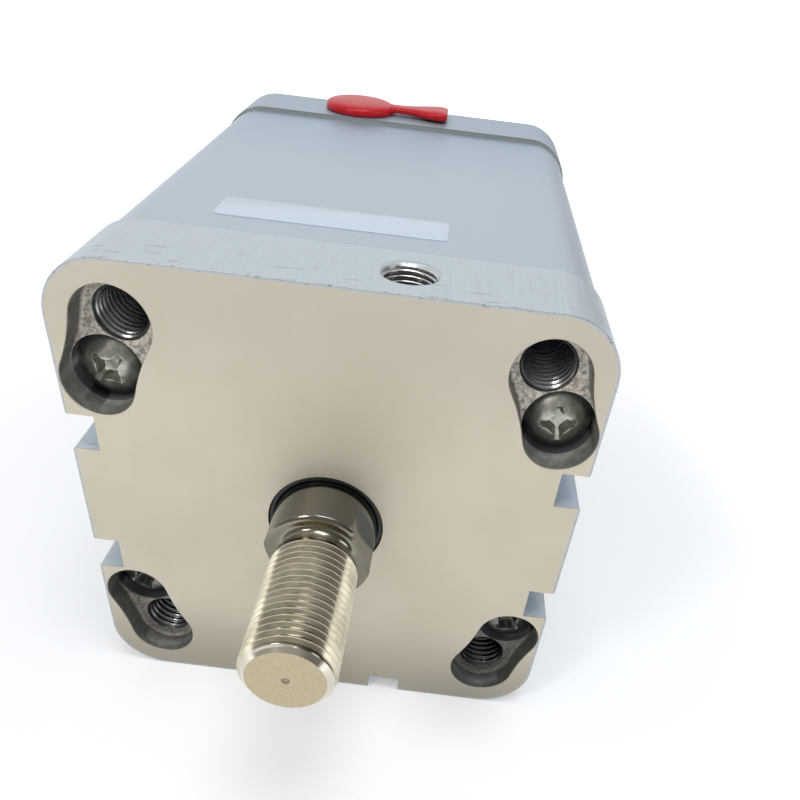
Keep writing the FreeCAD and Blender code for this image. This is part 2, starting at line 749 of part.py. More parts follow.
def make_rod():
    thread, relief = "thread_diameter / 2", "(thread_diameter / 2 - thread_depth)"
    relief_start = "(rod_standout + shoulder_run)"
    relief_end = f"({relief_start} + relief_length)"
    run_out = f"({relief_end} + thread_depth)"
    spigot, spigot_end = "spigot_diameter / 2", "(hub_end - clamp_gap)"
    groove = f"({spigot} - cord_thickness * 0.8)"
    groove_start = "(piston_front + half_piston / 2 - cord_thickness * 0.6)"
    groove_end = f"({groove_start} + cord_thickness * 1.2)"
    bolt, bolt_floor = "(bolt_diameter / 2 + thread_gap)", "(bolt_end - bolt_length - bolt_tip_gap)"
    rod = turned("piston_rod", [
        ("rod_tip", "0"), ("rod_tip", f"{thread} - tip_chamfer"),
        ("rod_tip - tip_chamfer", thread), (run_out, thread), (relief_end, relief),
        (relief_start, relief), ("rod_standout", "rod_radius"), ("-piston_front", "rod_radius"),
        ("-piston_front", spigot), (f"-{groove_start}", spigot), (f"-{groove_start}", groove),
        (f"-{groove_end}", groove), (f"-{groove_end}", spigot), (f"-{spigot_end}", spigot),
        (f"-{spigot_end}", bolt), (f"-{bolt_floor}", bolt), (f"-{bolt_floor}", "0")])
    flats = new_sketch(rod, "flats_outline", "XY")
    for side in (-1, 1):
        draw_box(flats, "rod_standout - flats_length", "rod_standout + shoulder_run",
                 f"{side} * (rod_radius - flats_depth)", f"{side} * (rod_radius + cut_margin)")
    pocket(rod, "wrench_flats", flats, both_ways=True)
    rod.Placement = FreeCAD.Placement(
        FreeCAD.Vector(0, 0, 0), FreeCAD.Rotation(ALONG_ROD, 1))
    bind(rod, {"Placement.Rotation.Angle": "flats_turn"})
    return rod


def piston_half(label, side):
    """Half of the piston, ahead of its middle plane (side 1) or behind it (side -1)."""
    def at(distance):
        return f"(-piston_middle + {side} * ({distance}))"
    wear = "wear_length / 2"
    seal_end = "(half_piston - rim_land)"
    seal_start = f"({seal_end} - seal_groove)"
    bore = "(spigot_diameter / 2 + running_gap)"
    section = [
        (at("0"), bore), (at("0"), "magnet_inner"), (at(wear), "magnet_inner"),
        (at(wear), "magnet_outer"), (at("0"), "magnet_outer"), (at("0"), "wear_floor"),
        (at(wear), "wear_floor"), (at(wear), "rim_radius"), (at(seal_start), "rim_radius"),
        (at(seal_start), "seal_floor"), (at(seal_end), "seal_floor"),
        (at(seal_end), "rim_radius"), (at("half_piston"), "rim_radius")]
    if side < 0:
        section += [(at("half_piston"), "hub_radius"), (at("half_piston + hub_length"), "hub_radius"),
                    (at("half_piston + hub_length"), bore)]
    else:
        section += [(at("half_piston"), bore)]
    return turned(label, section)


def make_piston_seal(label, side):
    """A lip seal in its groove: the lip flares towards the face that it seals."""
    def at(distance):
        return f"(-piston_middle + {side} * ({distance}))"
    outer_end = "(half_piston - rim_land - ring_gap)"
    inner_end = "(half_piston - rim_land - seal_groove + ring_gap)"
    floor, rim = "(seal_floor + ring_gap)", "(rim_radius - ring_gap)"
    notch = f"(({floor} + ring_radius) / 2)"
    return turned(label, [
        (at(inner_end), floor), (at(outer_end), floor),
        (at(outer_end), f"{notch} - lip_notch"), (at(f"{outer_end} - lip_notch"), notch),
        (at(outer_end), f"{notch} + lip_notch"), (at(outer_end), "ring_radius"),
        (at(inner_end), rim)])


def make_rod_o_ring():
    """A cord in the groove of the rod's inner end, squeezed to an eight-sided section."""
    half = "(cord_thickness * cord_squeeze / 2)"
    middle = f"(spigot_diameter / 2 - cord_thickness * 0.8 + {half} + seat_gap)"
    return turned("rod_o_ring", [
        (f"-(piston_front + half_piston / 2) + {half} * cos({45 * k})",
         f"{middle} + {half} * sin({45 * k})") for k in range(8)])


def make_piston_bolt():
    shank, head, height = "bolt_diameter / 2", "bolt_head / 2", "bolt_diameter"
    bolt = turned("piston_bolt", [
        ("-(bolt_end - bolt_length)", "0"), ("-(bolt_end - bolt_length)", f"{shank} * 0.8"),
        (f"-(bolt_end - bolt_length + {shank} * 0.2)", shank), ("-bolt_end", shank),
        ("-bolt_end", head), (f"-(bolt_end + {height})", head), (f"-(bolt_end + {height})", "0")])
    socket = new_sketch(bolt, "socket_outline", "YZ", f"-(bolt_end + {height})")
    corner = "bolt_socket / 2 / cos(30)"
    draw_outline(socket, [(f"{corner} * cos({60 * k + 30})", f"{corner} * sin({60 * k + 30})")
                          for k in range(6)])
    feature = bolt.newObject("PartDesign::Pocket", "hexagon_socket")
    feature.Profile = socket
    feature.Reversed = True
    bind(feature, {"Length": "bolt_socket_depth"})
    finished(bolt, feature, cuts=True)
    return bolt


# Transport plug

def make_port_plug():
    """A soft red plug: a domed disc, a hollow stem in the port and a flat tab to pull it by."""
    plug = new_body("port_plug")
    section = new_sketch(plug, "plug_section", "XZ")
    stem, disc = "(port_drill / 2 - plug_stem_gap)", "plug_disc / 2"
    draw_outline(section, [
        ("0", "plug_height"), ("0", "plug_floor"), ("plug_bore / 2", "plug_floor"),
        ("plug_bore / 2", "-plug_stem_length"), (stem, "-plug_stem_length"), (stem, "0"),
        (disc, "0"), (disc, "plug_edge")], {7: ("plug_dome", False)})
    turn_about(plug, "plug_turned", section, "V_Axis")
    tab = new_sketch(plug, "tab_outline", "XY", "tab_lift")
    waist, end = "tab_waist / 2", "tab_width / 2"
    start, throat = "plug_disc / 4", "(plug_disc / 2 + tab_waist / 4)"
    shoulder, nose = "(tab_reach - tab_corner)", f"({end} - tab_corner * 0.8)"
    draw_outline(tab, [
        (f"-{waist}", start), (waist, start), (waist, throat), (end, shoulder),
        (nose, "tab_reach"), (f"-{nose}", "tab_reach"), (f"-{end}", shoulder),
        (f"-{waist}", throat)],
        {2: ("tab_flare", False), 3: ("tab_corner", True), 4: ("tab_round", True),
         5: ("tab_corner", True), 6: ("tab_flare", False)})
    pad(plug, "tab", tab, "tab_thickness")
    bind(plug, {
        "Placement.Base.x": "-body_length + port_setback",
        "Placement.Base.y": "-port_offset",
        "Placement.Base.z": "half_envelope"})
    return plug


parts = [make_barrel()]
for cap_end in ("front", "rear"):
    parts.append(make_cap(f"{cap_end}_cap", cap_end))
    parts.append(make_cap_screws(f"{cap_end}_cap_screws", cap_end))
    parts.append(make_gasket(f"{cap_end}_cap_gasket", cap_end))
    parts.append(make_bumper(f"{cap_end}_bumper", cap_end))
parts += [make_bush(), make_wiper(), make_rod_seal(), make_rod()]
for half_name, half_side in (("front", 1), ("rear", -1)):
    parts.append(piston_half(f"{half_name}_piston_half", half_side))
    parts.append(make_piston_seal(f"{half_name}_piston_seal", half_side))
parts.append(ring("piston_magnet", "piston_middle - wear_length / 2 + ring_gap",
                  "piston_middle + wear_length / 2 - ring_gap",
                  "magnet_inner + ring_gap", "magnet_outer - ring_gap"))
parts.append(ring("piston_wear_ring", "piston_middle - wear_length / 2 + ring_gap",
                  "piston_middle + wear_length / 2 - ring_gap",
                  "wear_floor + ring_gap", "ring_radius"))
parts.append(ring("piston_washer", "hub_end", "bolt_end",
                  "bolt_diameter / 2 + thread_gap", "washer_radius"))
parts += [make_piston_bolt(), make_rod_o_ring(), make_port_plug()]

doc.recompute()
for item in doc.Objects:
    if "Invalid" in item.State or "Error" in item.State:
        raise ValueError(f"{item.Label} failed: {item.State}")

os.makedirs("parts", exist_ok=True)
for part in parts:
    if part.Shape.isNull() or not part.Shape.isValid():
        raise ValueError(f"{part.Label} has no valid shape")
    part.Shape.exportStep(f"parts/{part.Label}.step")
    print(f"{part.Label}: {len(part.Shape.Solids)} solid, {part.Shape.Volume:.0f} mm3")
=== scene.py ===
# %% [markdown]
# # Dressing a compact pneumatic cylinder
#
# The part comes from CAD with the right size and the right pieces, but with plain faces.
# In this lesson each visible piece gets its finish, and the pieces whose fine shape CAD
# left out get a mesh of their own: real thread turns, screws with a cross recess, a soft
# red plug and a label plate. Everything is in metres, in the same place as the CAD part.
# The rod points along +X, the ports look up along +Z, and the base lies on the table.

# %% Load the CAD part
import math

import bmesh
import bpy
from mathutils import Matrix, Vector


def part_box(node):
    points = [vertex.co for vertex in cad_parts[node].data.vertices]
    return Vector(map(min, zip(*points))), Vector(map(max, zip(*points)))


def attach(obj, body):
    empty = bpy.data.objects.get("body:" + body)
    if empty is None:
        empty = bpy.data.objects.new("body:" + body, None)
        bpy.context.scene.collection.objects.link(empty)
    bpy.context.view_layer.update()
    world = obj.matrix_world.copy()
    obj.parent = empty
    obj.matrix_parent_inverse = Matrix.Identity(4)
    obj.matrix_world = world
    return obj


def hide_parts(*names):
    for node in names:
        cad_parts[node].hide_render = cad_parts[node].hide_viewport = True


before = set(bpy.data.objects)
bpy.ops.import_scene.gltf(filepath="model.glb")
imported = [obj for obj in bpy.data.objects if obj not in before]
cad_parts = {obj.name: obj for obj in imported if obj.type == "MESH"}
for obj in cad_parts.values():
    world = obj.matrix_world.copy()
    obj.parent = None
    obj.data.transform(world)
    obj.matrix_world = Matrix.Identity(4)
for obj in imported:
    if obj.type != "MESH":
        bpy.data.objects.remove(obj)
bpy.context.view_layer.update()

# %% [markdown]
# ## The measures that pieces and finishes share
#
# Shapes and finishes both have to know where a hole or an edge is: the mesh has the hole,
# and the material colours its wall. So these measures stand here once, in millimetres, and
# are the same as in the CAD part.

# %% Shared measures
MM = 0.001
LENGTH = -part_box("rear_cap")[0].x / MM
CAP = 19                                    # one cap's length along X
BORE = 40                                   # the barrel's inner radius
SIDE = 47                                   # from the axis to a cap's side
CORNER = 11                                 # radius of the caps' outer corners
POCKET = 5.0                                # depth of the corner pockets
SPACING = 36                                # mounting holes, from the middle planes
MOUNT_CORE, MOUNT_ROOT = 4.25, 4.89         # radii of an M10 thread's crests and roots
PORT_CORE, PORT_ROOT = 4.283, 4.864         # the same for the air ports
PORT_X, PORT_Y = 9.2, 11.3                  # a port from its cap's face and middle
SCREW_PLACE = (40, 25.2)                    # a cap screw's axis
PITCH, PORT_PITCH = 1.5, 0.907              # of rod and mounting threads, and of ports
ROD, THREAD, THREAD_ROOT = 10.0, 8.0, 7.08  # the rod's radii
THREAD_START, ROD_END = 13.0, 38.8          # along the rod, from the front face
print(f"the body is {LENGTH:.1f} mm long, and the rod stands out {ROD_END} mm")

# %% [markdown]
# ## A small language for materials
#
# A Blender material is a graph of nodes, and a graph is hard to read as code. So one small
# class stands for the output of a node. When two of them are added or multiplied, or one
# with a plain number, the matching Math node is made. `1 - mask` works as well, because
# Python asks the right-hand side when the left one doesn't know what to do. Colours and
# positions have three parts, so they go to Vector Math, because a Math node would turn them
# into a single grey number.

# %% The output of a node, with arithmetic
class Wire:
    """One output of a shader node. Arithmetic on it adds the nodes that work it out."""

    def __init__(self, finish, socket):
        self.finish = finish
        self.socket = socket

    def work_out(self, operation, *values):
        in_parts = any(isinstance(value, Wire) and value.socket.type in ("VECTOR", "RGBA")
                       for value in values)
        if in_parts:
            values = [(value,) * 3 if isinstance(value, (int, float)) else value
                      for value in values]
        kind = "ShaderNodeVectorMath" if in_parts else "ShaderNodeMath"
        return self.finish.node(kind, {"operation": operation}, dict(enumerate(values)))

    def __add__(self, other): return self.work_out("ADD", self, other)
    def __radd__(self, other): return self.work_out("ADD", other, self)
    def __sub__(self, other): return self.work_out("SUBTRACT", self, other)
    def __rsub__(self, other): return self.work_out("SUBTRACT", other, self)
    def __mul__(self, other): return self.work_out("MULTIPLY", self, other)
    def __rmul__(self, other): return self.work_out("MULTIPLY", other, self)
    def __truediv__(self, other): return self.work_out("DIVIDE", self, other)
    def __rtruediv__(self, other): return self.work_out("DIVIDE", other, self)
    def __pow__(self, other): return self.work_out("POWER", self, other)
    def __abs__(self): return self.work_out("ABSOLUTE", self)

    def fade(self, start, end):
        """0 at start, 1 at end, smooth between and level beyond them."""
        return self.finish.node(
            "ShaderNodeMapRange", {"interpolation_type": "SMOOTHSTEP"},
            {"Value": self, "From Min": start, "From Max": end})

    def away(self, other):
        """The distance from the axis where both wires are 0."""
        return (self ** 2 + other ** 2) ** 0.5

    def larger(self, other): return self.work_out("MAXIMUM", self, other)
    def smaller(self, other): return self.work_out("MINIMUM", self, other)

print("a wire can also:", ", ".join(name for name in vars(Wire) if name[:2] != "__"))

# %% [markdown]
# ## A material under construction
#
# `Finish` holds one material. Its method `node` makes any node: first its settings, then
# the values or links of its sockets. The rest are short words for what this object needs
# again and again: the place on the piece in millimetres, noise of a given grain, a mix of
# two colours, a bump, and the surface itself.

# %% The material builder
class Finish:
    """A material, or the world, and the nodes that it is made of."""

    def __init__(self, name, kind="materials", coordinates="Object"):
        self.material = getattr(bpy.data, kind).new(name)
        self.material.use_nodes = True
        self.tree = self.material.node_tree
        self.tree.nodes.clear()
        self.place = self.node("ShaderNodeTexCoord", give=coordinates) / MM
        self.x, self.y, self.z = self.node(
            "ShaderNodeSeparateXYZ", values={0: self.place}, give=("X", "Y", "Z"))

    def node(self, kind, settings=None, values=None, give=0):
        """Any node: its settings, its sockets' values or wires, and the outputs to give."""
        made = self.tree.nodes.new(kind)
        for name, setting in (settings or {}).items():
            setattr(made, name, setting)
        for name, value in (values or {}).items():
            socket = made.inputs[name]
            if isinstance(value, Wire):
                self.tree.links.new(value.socket, socket)
            elif socket.type == "RGBA" and len(value) == 3:
                socket.default_value = (*value, 1)
            else:
                socket.default_value = value
        if isinstance(give, tuple):
            return [Wire(self, made.outputs[name]) for name in give]
        return Wire(self, made.outputs[give]) if made.outputs else None

    def grain(self, size, stretch=(1, 1, 1), detail=2.0, rough=0.5):
        """Noise from 0 to 1 whose spots are about size millimetres across."""
        return self.node("ShaderNodeTexNoise", values={
            "Vector": self.place / Vector(stretch), "Scale": 1 / size,
            "Detail": detail, "Roughness": rough})

    def mix(self, share, first, second):
        """The first colour where share is 0, the second where it is 1."""
        # Of a Mix node's many sockets, inputs 6 and 7 and output 2 are for colours.
        return self.node("ShaderNodeMix", {"data_type": "RGBA"},
                         {0: share, 6: first, 7: second}, give=2)

    def bump(self, height):
        """Bends the light as if the surface stood up by height, in millimetres."""
        return self.node("ShaderNodeBump", values={"Height": height, "Distance": MM})

    def surface(self, **sockets):
        """The surface: each socket by its name, and the value or wire it gets."""
        values = {name.replace("_", " ").title().replace("Ior", "IOR"): value
                  for name, value in sockets.items()}
        shader = self.node("ShaderNodeBsdfPrincipled", values=values)
        self.node("ShaderNodeOutputMaterial", values={"Surface": shader})
        return self.material

print("a finish can use:", ", ".join(name for name in vars(Finish) if name[:2] != "__"))

# %% [markdown]
# ## The end caps' finish
#
# A cap is a die casting. Its outer face is milled and then blasted, which leaves a fine,
# even, warm grey. Its sides are anodised with the barrel and look smoother and bluer. The
# pockets keep the casting skin, which is darker and mottled. One material can hold all
# three, because the place on the piece says which part of the casting a point is on. The
# first function works out these places as masks, which are 1 on their part and 0 elsewhere.

# %% Masks of a cap's surfaces
def cap_places(cap):
    """Depth behind the face, and masks: side, track, pocket, floor, depths with painted
    shade, and edge.
    """
    depth = LENGTH / 2 - abs(cap.x + LENGTH / 2)
    across, up = abs(cap.y) - SPACING, abs(cap.z) - SPACING
    round_part = across.larger(0).away(up.larger(0))
    outward = round_part + across.larger(up).smaller(0)
    face = depth.fade(0.32, 0.12)
    outer = outward.fade(CORNER - 0.7, CORNER - 0.25)
    side_tracks = across.fade(5.3, 5.6) * up.fade(-17, -18)
    base_track = cap.z.fade(-42.6, -42.9) * across.fade(-17, -18)
    groove = side_tracks.larger(base_track)
    side = outer.larger(groove * depth.fade(0.2, 0.4))
    pocket = (1 - face) * (1 - side)
    high = abs(cap.z).fade(24, 28)
    floor = pocket * depth.fade(4.2, 4.85) * depth.fade(5.25, 5.05) * high
    # The counterbores under the pockets' floor: a mask for painted shade.
    deep = pocket * depth.fade(POCKET + 0.1, POCKET + 0.5)
    edge = depth.fade(0.6, 0.25) * outward.fade(CORNER - 0.6, CORNER - 0.2)
    return depth, side, groove * (1 - outer), pocket, floor, deep, edge


def painted_shade_mask(finish):
    """Mask of painted shade: the lower half, more to the right."""
    return finish.z.fade(-10, -25) * (0.6 + 0.4 * finish.y.fade(-20, 20))

print("masks follow a cap of", 2 * SIDE, "mm square with pockets", POCKET, "mm deep")

# %% [markdown]
# Now the colours. The blasted face has soft clouds and a few dark specks. The anodised
# sides have fine streaks along X, short scratches from handling near the face, and small
# nicks on the edge. Scratches and nicks come from noise that is cut off at a level.

# %% Colours of a cap's surfaces
def blasted_colour(cap):
    """The face: warm grey, with painted shade towards its lower edge and a little at the
    upper one.
    """
    clouds = cap.grain(16, detail=3.0)
    specks = cap.grain(0.45, detail=5.0, rough=0.8).fade(0.69, 0.74)
    blasted = cap.mix(clouds.fade(0.3, 0.7), (0.625, 0.565, 0.455), (0.66, 0.60, 0.49))
    blasted = cap.mix(specks * 0.35, blasted, (0.2, 0.18, 0.15))
    # Painted shade towards the lower edge.
    blasted = cap.mix(cap.z.fade(-22, -SIDE) * 0.6, blasted, (0.26, 0.245, 0.20))
    # A little painted shade towards the upper edge.
    return cap.mix(cap.z.fade(12, 42) * 0.35, blasted, (0.42, 0.385, 0.32))


def anodised_colour(cap, depth, in_track):
    """The sides: pale blue grey, with painted shade that makes them deeper at the rear cap.
    """
    streaks = cap.grain(0.5, (30, 1, 1))
    anodised = cap.mix(streaks.fade(0.3, 0.7), (0.47, 0.525, 0.565), (0.495, 0.555, 0.595))
    # Painted shade: darker and bluer towards the rear cap.
    anodised = cap.mix(cap.x.fade(-60, -120), anodised, (0.35, 0.425, 0.495))
    anodised = cap.mix(in_track, anodised, (0.50, 0.58, 0.65))
    marks = cap.grain(0.3, (3, 22, 22), detail=3.0).fade(0.60, 0.66)
    handled = cap.grain(7, detail=2.0).fade(0.45, 0.6) * depth.fade(15, 3)
    return cap.mix(marks * handled * 0.55, anodised, (0.24, 0.25, 0.25))


def cast_colour(cap, speckles, floor, deep):
    """The pockets: dark skin on the walls, a paler bed, and painted shade in the depths and
    in the lower pockets.
    """
    # The lower pockets get painted shade, which also dulls the bed's speckles.
    below = painted_shade_mask(cap)
    skin = cap.mix(cap.grain(1.6, detail=3.0).fade(0.35, 0.7),
                   (0.18, 0.178, 0.16), (0.26, 0.252, 0.228))
    bed = cap.mix(speckles.fade(0.36, 0.6) * (1 - below * 0.5), (0.25, 0.228, 0.20),
                  (0.69, 0.63, 0.54))
    cast = cap.mix(below * 0.6, cap.mix(floor, skin, bed), (0.055, 0.057, 0.055))
    # The counterbores get painted shade, nearly black.
    return cap.mix(deep, cast, (0.05, 0.054, 0.062))

print("three colours for the caps: blasted, anodised and cast")

# %% Cap finish
def cap_finish():
    cap = Finish("cap_cast_aluminium")
    depth, side, in_track, pocket, floor, deep, edge = cap_places(cap)
    fine = cap.grain(0.35, detail=3.0)
    speckles = cap.grain(0.75, detail=5.0, rough=0.72)
    chips = cap.grain(0.6, (1, 2.0, 2.0), detail=4.0, rough=0.65).fade(0.58, 0.64)
    colour = cap.mix(side, blasted_colour(cap), anodised_colour(cap, depth, in_track))
    colour = cap.mix(pocket, colour, cast_colour(cap, speckles, floor, deep))
    colour = cap.mix(edge * 0.25, colour, (0.33, 0.32, 0.29))
    colour = cap.mix(edge * chips * 0.8, colour, (0.12, 0.115, 0.105))
    # The step where the cap meets the barrel: painted contact shadow, grey-green.
    seam = depth.fade(CAP - 0.2, CAP - 0.05)
    colour = cap.mix(seam, colour, (0.32, 0.335, 0.32))
    height = fine * 0.012 * (1 - side) + fine * 0.003 * side + pocket * speckles * 0.04
    rough = 0.50 - 0.06 * side + 0.05 * fine
    return cap.surface(base_color=colour, metallic=0.7 - 0.25 * pocket, roughness=rough,
                       normal=cap.bump(height))

cap_material = cap_finish()
print("cap finish:", len(cap_material.node_tree.nodes), "nodes")

# %% [markdown]
# ## The barrel's finish
#
# The barrel is an extruded profile, drawn through a die along X and then anodised. The die
# leaves very fine lines along the pull, and the anodising makes them soft and a little
# blue. Noise stretched along X gives the lines.

# %% Barrel finish
def barrel_finish():
    barrel = Finish("barrel_anodised_aluminium")
    lines = barrel.grain(0.35, (120, 1, 1), detail=3.0)
    broad = barrel.grain(14, (20, 1, 1))
    colour = barrel.mix(lines.fade(0.3, 0.7) * 0.25 + broad * 0.75,
                        (0.425, 0.485, 0.555), (0.455, 0.52, 0.595))
    # Painted shade: darker and bluer towards the rear.
    colour = barrel.mix(barrel.x.fade(-60, -112) * 0.8, colour, (0.355, 0.44, 0.535))
    inside = (barrel.y ** 2 + barrel.z ** 2).fade(BORE ** 2 + 40, BORE ** 2 - 10)
    return barrel.surface(
        base_color=barrel.mix(inside, colour, (0.62, 0.63, 0.64)), metallic=0.8,
        roughness=0.40 + lines * 0.05 - inside * 0.2, normal=barrel.bump(lines * 0.0015))

barrel_material = barrel_finish()
print("barrel finish:", len(barrel_material.node_tree.nodes), "nodes")

# %% [markdown]
# ## Steel: chrome, turned thread, turned face, zinc
#
# The rod is one piece of steel with three finishes. Its shank is ground and hard-chromed,
# so it is nearly a mirror. The thread is turned: its flanks shine in the colours round
# them, and its worn crests are thin pale lines, brightened by a painted highlight, as is
# the chamfer at its end. Its roots and the neck get painted shade. The end face is turned
# too, but coarser, so it looks matt, with fine rings round its middle and painted shade
# in its centre hole. The screws are zinc plated, which is duller and a little green, and
# the lower ones get painted shade.

# %% Steel finishes
def chrome_finish():
    chrome = Finish("rod_chrome")
    rings = chrome.grain(0.15, (1, 60, 60), detail=3.0)
    return chrome.surface(base_color=(0.215, 0.215, 0.20), metallic=1.0,
                          roughness=0.14 + rings * 0.06, normal=chrome.bump(rings * 0.0006))


def turned_finish():
    turned = Finish("rod_turned_thread")
    rings = turned.grain(0.12, (1, 30, 30), detail=3.0)
    stains = turned.grain(4, (1.5, 1, 1), detail=3.0)
    radius = turned.y.away(turned.z)
    colour = turned.mix(stains.fade(0.3, 0.7), (0.44, 0.39, 0.28), (0.72, 0.655, 0.50))
    # Painted shade in the thread's roots.
    colour = turned.mix(radius.fade(7.45, 7.1), colour, (0.13, 0.115, 0.085))
    # Painted shade on the neck.
    colour = turned.mix(turned.x.fade(13.4, 12.4), colour, (0.20, 0.185, 0.145))
    # Crests: worn, and brightened by a painted highlight; the chamfer at the end gets the
    # same painted highlight.
    crest = radius.fade(THREAD - 0.15, THREAD - 0.03) * turned.x.fade(12.8, 13.4)
    bright = crest.larger(turned.x.fade(37.35, 37.6))
    colour = turned.mix(bright, colour, (0.65, 0.61, 0.52))
    return turned.surface(base_color=colour, metallic=1 - 0.4 * crest,
                          roughness=0.11 + rings * 0.1 + crest * 0.12,
                          normal=turned.bump(rings * 0.003))


def faced_finish():
    faced = Finish("rod_faced_end")
    across = faced.y.away(faced.z)
    rings = faced.node("ShaderNodeTexNoise", {"noise_dimensions": "1D"},
                       {"W": across, "Scale": 3.0, "Detail": 2.0})
    grit = faced.grain(0.3, detail=3.0)
    colour = faced.mix(grit.fade(0.3, 0.7), (0.50, 0.42, 0.285), (0.60, 0.515, 0.36))
    colour = faced.mix(rings.fade(0.4, 0.7) * 0.12, colour, (0.36, 0.30, 0.20))
    # Painted shade in the centre hole.
    centre = across.fade(0.8, 0.65) * across.fade(0.2, 0.35)
    colour = faced.mix(centre * 0.7, colour, (0.2, 0.17, 0.13))
    return faced.surface(base_color=colour, metallic=0.8, roughness=0.42 + rings * 0.1,
                         normal=faced.bump(rings * 0.004 + grit * 0.006))


def zinc_finish():
    zinc = Finish("screw_zinc")
    spots = zinc.grain(1.2, detail=4.0, rough=0.65)
    colour = zinc.mix(spots.fade(0.35, 0.7), (0.36, 0.36, 0.32), (0.52, 0.515, 0.465))
    # Painted shade on the lower screws.
    colour = zinc.mix(zinc.z.fade(-10, -20) * 0.7, colour, (0.12, 0.13, 0.125))
    return zinc.surface(base_color=colour, metallic=1.0, roughness=0.27 + spots * 0.15,
                        normal=zinc.bump(spots * 0.01))

chrome, turned, faced, zinc = (
    chrome_finish(), turned_finish(), faced_finish(), zinc_finish())
print("steel finishes:", chrome.name, turned.name, faced.name, zinc.name)

# %% [markdown]
# ## Soft and moulded finishes
#
# The wiper is black polyurethane with a soft gloss. The transport plug is soft red plastic:
# light goes a little way into it, which subsurface scattering shows. The label is a pale
# film with a faint sheen, left without print.

# %% Rubber, red plastic and label film
def rubber_finish():
    rubber = Finish("black_rubber")
    grit = rubber.grain(0.5, detail=3.0)
    return rubber.surface(base_color=(0.012, 0.012, 0.013), roughness=0.28 + grit * 0.18,
                          normal=rubber.bump(grit * 0.006))


def plug_finish():
    plug = Finish("plug_red_plastic")
    clouds = plug.grain(4, detail=2.0)
    colour = plug.mix(clouds, (0.42, 0.003, 0.009), (0.50, 0.006, 0.015))
    return plug.surface(base_color=colour, roughness=0.28 + clouds * 0.08,
                        specular_ior_level=0.28,
                        subsurface_weight=0.15, subsurface_radius=(1.0, 0.15, 0.1),
                        subsurface_scale=0.002, normal=plug.bump(plug.grain(0.8) * 0.01))


def label_finish():
    label = Finish("label_film")
    paper = label.grain(0.6, detail=3.0)
    colour = label.mix(paper, (0.47, 0.54, 0.61), (0.50, 0.57, 0.64))
    return label.surface(base_color=colour, roughness=0.38,
                         normal=label.bump(paper * 0.003))

rubber, plug_red, label_film = rubber_finish(), plug_finish(), label_finish()
print("soft finishes:", rubber.name, plug_red.name, label_film.name)

# %% [markdown]
# ## Cut threads
#
# The crests get a painted highlight and the roots painted shade. How far a point is from
# the hole's axis tells the two apart. The two ports are at opposite corners of the
# body, so the sign of the place along X says which of them a point belongs to.

# %% Thread finishes
def port_finish():
    """A port's machined mouth, pale, and its thread: painted highlight on the crests,
    painted shade in the roots.
    """
    port = Finish("port_machined")
    along = port.x + LENGTH / 2
    end = along.work_out("SIGN", along)
    radius = (abs(along) - (LENGTH / 2 - PORT_X)).away(port.y * end - PORT_Y)
    # Painted highlight on the crests, painted shade in the roots.
    colour = port.mix(radius.fade(4.36, 4.72), (0.66, 0.655, 0.63), (0.29, 0.30, 0.305))
    colour = port.mix(port.z.fade(45.95, 46.1), colour, (0.58, 0.61, 0.63))
    spots = port.grain(0.5, detail=3.0)
    return port.surface(base_color=colour, metallic=0.9, roughness=0.2 + spots * 0.1)


def tapped_finish():
    """The mounting threads: painted highlight on the crests, painted shade in the roots and
    lower holes.
    """
    tapped = Finish("mounting_thread")
    radius = (abs(tapped.y) - SPACING).away(abs(tapped.z) - SPACING)
    # Painted highlight on the crests, painted shade in the roots.
    colour = tapped.mix(radius.fade(4.38, 4.85), (0.50, 0.515, 0.52), (0.12, 0.128, 0.136))
    # More painted shade on the lower threads.
    colour = tapped.mix(painted_shade_mask(tapped) * 0.85, colour, (0.05, 0.052, 0.054))
    spots = tapped.grain(0.6, detail=3.0)
    return tapped.surface(base_color=colour, metallic=1.0, roughness=0.2 + spots * 0.08)

port_metal, tapped_metal = port_finish(), tapped_finish()
print("thread finishes:", port_metal.name, tapped_metal.name)

# %% [markdown]
# ## Pieces inside the cylinder
#
# They only show when the cylinder is taken apart, but they get their own metals and
# plastics all the same: turned aluminium for the piston, sintered bronze for the rod's
# bush, and two dark plastics for the magnet and the wear ring.

# %% Inner finishes
def plain_metal(name, dark, light, rough):
    """A turned metal with faint spots."""
    metal = Finish(name)
    spots = metal.grain(0.8, detail=3.0)
    return metal.surface(base_color=metal.mix(spots, dark, light), metallic=1.0,
                         roughness=rough + spots * 0.1, normal=metal.bump(spots * 0.002))


def plain_plastic(name, dark, light):
    """A moulded plastic with faint spots."""
    plastic = Finish(name)
    spots = plastic.grain(0.7, detail=3.0)
    return plastic.surface(base_color=plastic.mix(spots, dark, light),
                           roughness=0.5 + spots * 0.1, normal=plastic.bump(spots * 0.01))

inner_finishes = {
    "front_piston_half": plain_metal(
        "piston_aluminium", (0.60, 0.60, 0.61), (0.72, 0.72, 0.73), 0.3),
    "rod_bush": plain_metal("bush_bronze", (0.42, 0.26, 0.12), (0.56, 0.37, 0.18), 0.35),
    "piston_magnet": plain_plastic(
        "magnet_plastic", (0.03, 0.03, 0.035), (0.05, 0.05, 0.055)),
    "piston_wear_ring": plain_plastic(
        "bearing_plastic", (0.10, 0.09, 0.08), (0.14, 0.13, 0.11)),
}
inner_finishes["rear_piston_half"] = inner_finishes["front_piston_half"]
print(len(bpy.data.materials), "materials so far")

# %% [markdown]
# ## Carried-over CAD pieces
#
# The barrel and everything inside the cylinder already have the right shape, so they keep
# their CAD meshes and only get a finish. Their round faces come smooth, and their flat
# faces flat.

# %% Give the CAD pieces their finishes
def wear(thing, material):
    """Puts one material on a piece, in place of what it came with."""
    thing.data.materials.clear()
    thing.data.materials.append(material)

for name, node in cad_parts.items():
    wear(node, inner_finishes.get(name, zinc if name.startswith("piston_") else rubber))
wear(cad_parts["barrel"], barrel_material)
print("dressed", len(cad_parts), "CAD pieces")

